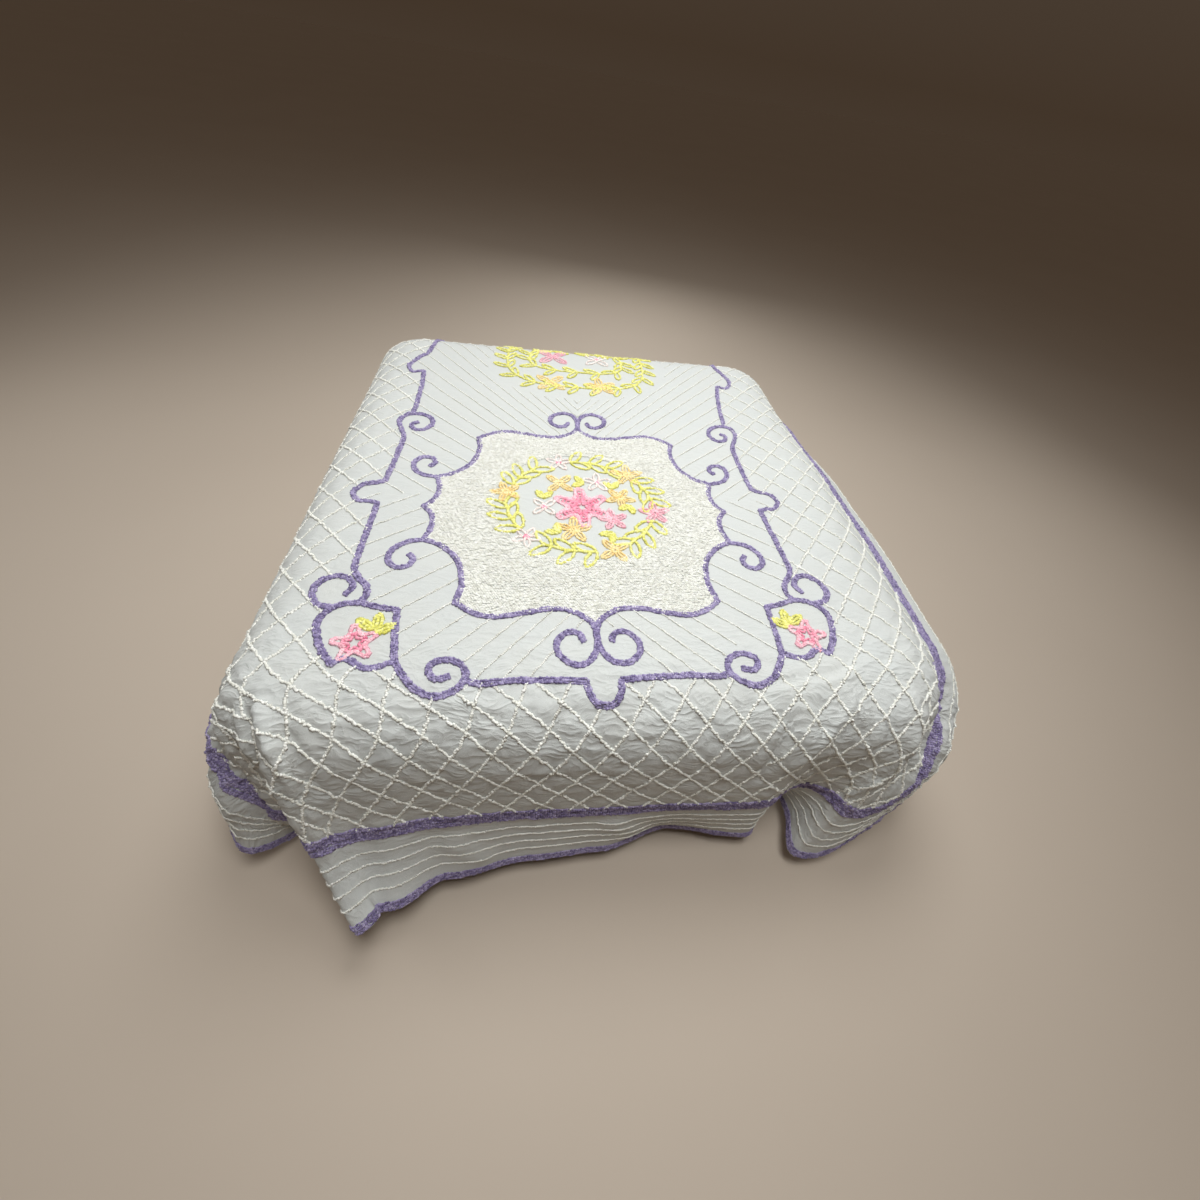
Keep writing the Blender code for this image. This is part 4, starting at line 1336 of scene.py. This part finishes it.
def piping_tree():
    """Geometry nodes that run a round cord along a closed row of edges."""
    inputs = {"Path": "Geometry", "Cord Radius": "Float", "Finish": "Material"}
    tree, given, result = new_tree("GeometryNodeTree", "piping", inputs, {"Cord": "Geometry"})
    path = add_node(tree, "GeometryNodeMeshToCurve", n0=given["Path"]).outputs[0]
    section = add_node(tree, "GeometryNodeCurvePrimitiveCircle", Radius=given["Cord Radius"])
    section.inputs["Resolution"].default_value = PIPING_SIDES
    cord = add_node(tree, "GeometryNodeCurveToMesh", Curve=path, Profile_Curve=section.outputs[0]).outputs[0]
    real = add_node(tree, "GeometryNodeRealizeInstances", Geometry=cord).outputs[0]
    finished = add_node(tree, "GeometryNodeSetMaterial", Geometry=real, Material=given["Finish"]).outputs[0]
    rounded = add_node(tree, "GeometryNodeSetShadeSmooth", Geometry=finished).outputs[0]
    tree.links.new(rounded, result["Cord"])
    return tree


def make_piping(finish):
    """The two corded seams round the mattress, over and under its side panel."""
    low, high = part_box("mattress")
    middle, depth = (low.z + high.z) / 2, high.z - low.z
    mesh = bmesh.new()
    for slope in np.radians(PIPING_SLOPES):
        inset = MATTRESS_EDGE * (1 - cos(slope)) + PIPING_RADIUS
        height = middle + depth / 2 * sin(slope)
        verts = [mesh.verts.new((*point, height)) for point in mattress_outline(high.x, high.y, inset)]
        for place, vert in enumerate(verts):
            mesh.edges.new((vert, verts[(place + 1) % len(verts)]))
    piping = object_from(mesh, "mattress_piping")
    run_tree(piping, piping_tree(), {"Cord Radius": PIPING_RADIUS, "Finish": finish})
    return piping


# ---------------------------------------------------------------- camera, light and floor


def aimed(position, target):
    return (Vector(target) - Vector(position)).to_track_quat("-Z", "Y")


def make_camera():
    """The camera, turned by its yaw, pitch and roll."""
    yaw, pitch, roll = CAMERA_TURNS
    ahead = Vector((sin(yaw) * cos(pitch), cos(yaw) * cos(pitch), -sin(pitch)))
    level = Vector((cos(yaw), -sin(yaw), 0.0))
    upward = level.cross(ahead)
    right = cos(roll) * level + sin(roll) * upward
    top = cos(roll) * upward - sin(roll) * level
    made = bpy.data.cameras.new("camera")
    made.lens, made.sensor_width = CAMERA_LENS, CAMERA_SENSOR
    camera = new_object("camera", made)
    camera.matrix_world = Matrix((right, top, -ahead)).transposed().to_4x4()
    camera.location = CAMERA_PLACE
    bpy.context.scene.camera = camera


def make_lights():
    """The soft lamps, and a dim room round them."""
    for name, place, target, size, power, colour in LIGHTS:
        lamp = bpy.data.lights.new(name, "AREA")
        lamp.shape, lamp.size, lamp.energy, lamp.color = "DISK", size, power, colour
        light = new_object(name, lamp)
        light.location = place
        light.rotation_mode = "QUATERNION"
        light.rotation_quaternion = aimed(place, target)
    world = bpy.data.worlds.new("soft_room")
    world.use_nodes = True
    tree = world.node_tree
    background = tree.nodes["Background"]
    background.inputs["Strength"].default_value = ROOM_LIGHT
    # The room darkens to the floor's tone towards its far edge, so that no bright line shows there.
    outward = add_node(tree, "ShaderNodeTexCoord").outputs["Generated"]
    height = maths(tree, "ABSOLUTE", add_node(tree, "ShaderNodeSeparateXYZ", n0=outward).outputs["Z"])
    rising = add_node(tree, "ShaderNodeMapRange", Value=height, From_Max=ROOM_EDGE)
    far_floor = [tint * share for tint, share in zip(ROOM_COLOUR, FLOOR_DARK)]
    tree.links.new(blend_colours(tree, rising.outputs[0], far_floor, ROOM_COLOUR), background.inputs["Color"])
    bpy.context.scene.world = world
    bpy.context.scene.view_settings.view_transform = "Standard"


def make_floor():
    mesh = bmesh.new()
    bmesh.ops.create_grid(mesh, x_segments=1, y_segments=1, size=FLOOR_REACH)
    floor = object_from(mesh, "floor")
    floor.data.materials.append(floor_finish())


# ---------------------------------------------------------------- all of it

make_camera()
make_lights()
make_floor()

weave, pile = weave_group(), pile_group()
yarns = {dye: chenille(pile, f"{dye}_chenille", *tones) for dye, tones in DYES.items()}
ticking = woven_cover(weave, "mattress_ticking_cloth", *TICKING, striped=True)
base_cloth = woven_cover(weave, "base_upholstery", *UPHOLSTERY)

cloth = make_cloth()
cloth.data.materials.append(cotton_ground(weave))

tree = tufted_row_tree()
kinds_of_row = [
    ("lattice_rows", lattice_lines(), "cream", "cream_tufts", LATTICE_TUFT),
    ("border_ribs", rib_lines(), "cream", "cream_tufts", RIB_TUFT),
    ("slanted_rows", slanted_lines(), "cream", "cream_tufts", SLANT_TUFT),
    ("medallion_pile", pile_lines(), "cream", "cream_tufts", PILE_TUFT),
    ("purple_hem", hem_lines(), "purple", "purple_tufts", HEM_TUFT),
    ("purple_band", band_lines(), "purple", "purple_tufts", BAND_TUFT),
    ("purple_scrollwork", frame_lines(), "purple", "purple_tufts", SCROLL_TUFT),
    ("yellow_leaves", leaf_lines(), "yellow", "yellow_tufts", LEAF_TUFT),
    ("orange_flowers", flower_lines(ORANGE_FLOWERS), "orange", "orange_tufts", PETAL_TUFT),
    ("pink_flowers", pink_lines(), "pink", "pink_tufts", PETAL_TUFT),
    ("pink_hearts", deep_pink_lines(), "deep_pink", "pink_tufts", PETAL_TUFT),
    ("pale_flowers", pale_lines(), "pale_pink", "pink_tufts", PETAL_TUFT),
]
rows = []
for seed, (name, lines, dye, slot, tuft) in enumerate(kinds_of_row, start=FIRST_SEED):
    rows.append(make_rows(tree, name, lines, yarns[dye], tuft, seed))
for piece in [cloth, *rows]:
    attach(piece, "root")
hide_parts("bedspread")

mattress = make_mattress(ticking)
piping = make_piping(ticking)
for piece in (mattress, piping):
    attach(piece, "root")
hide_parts("mattress")
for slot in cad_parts["bed_base"].material_slots:
    slot.material = base_cloth
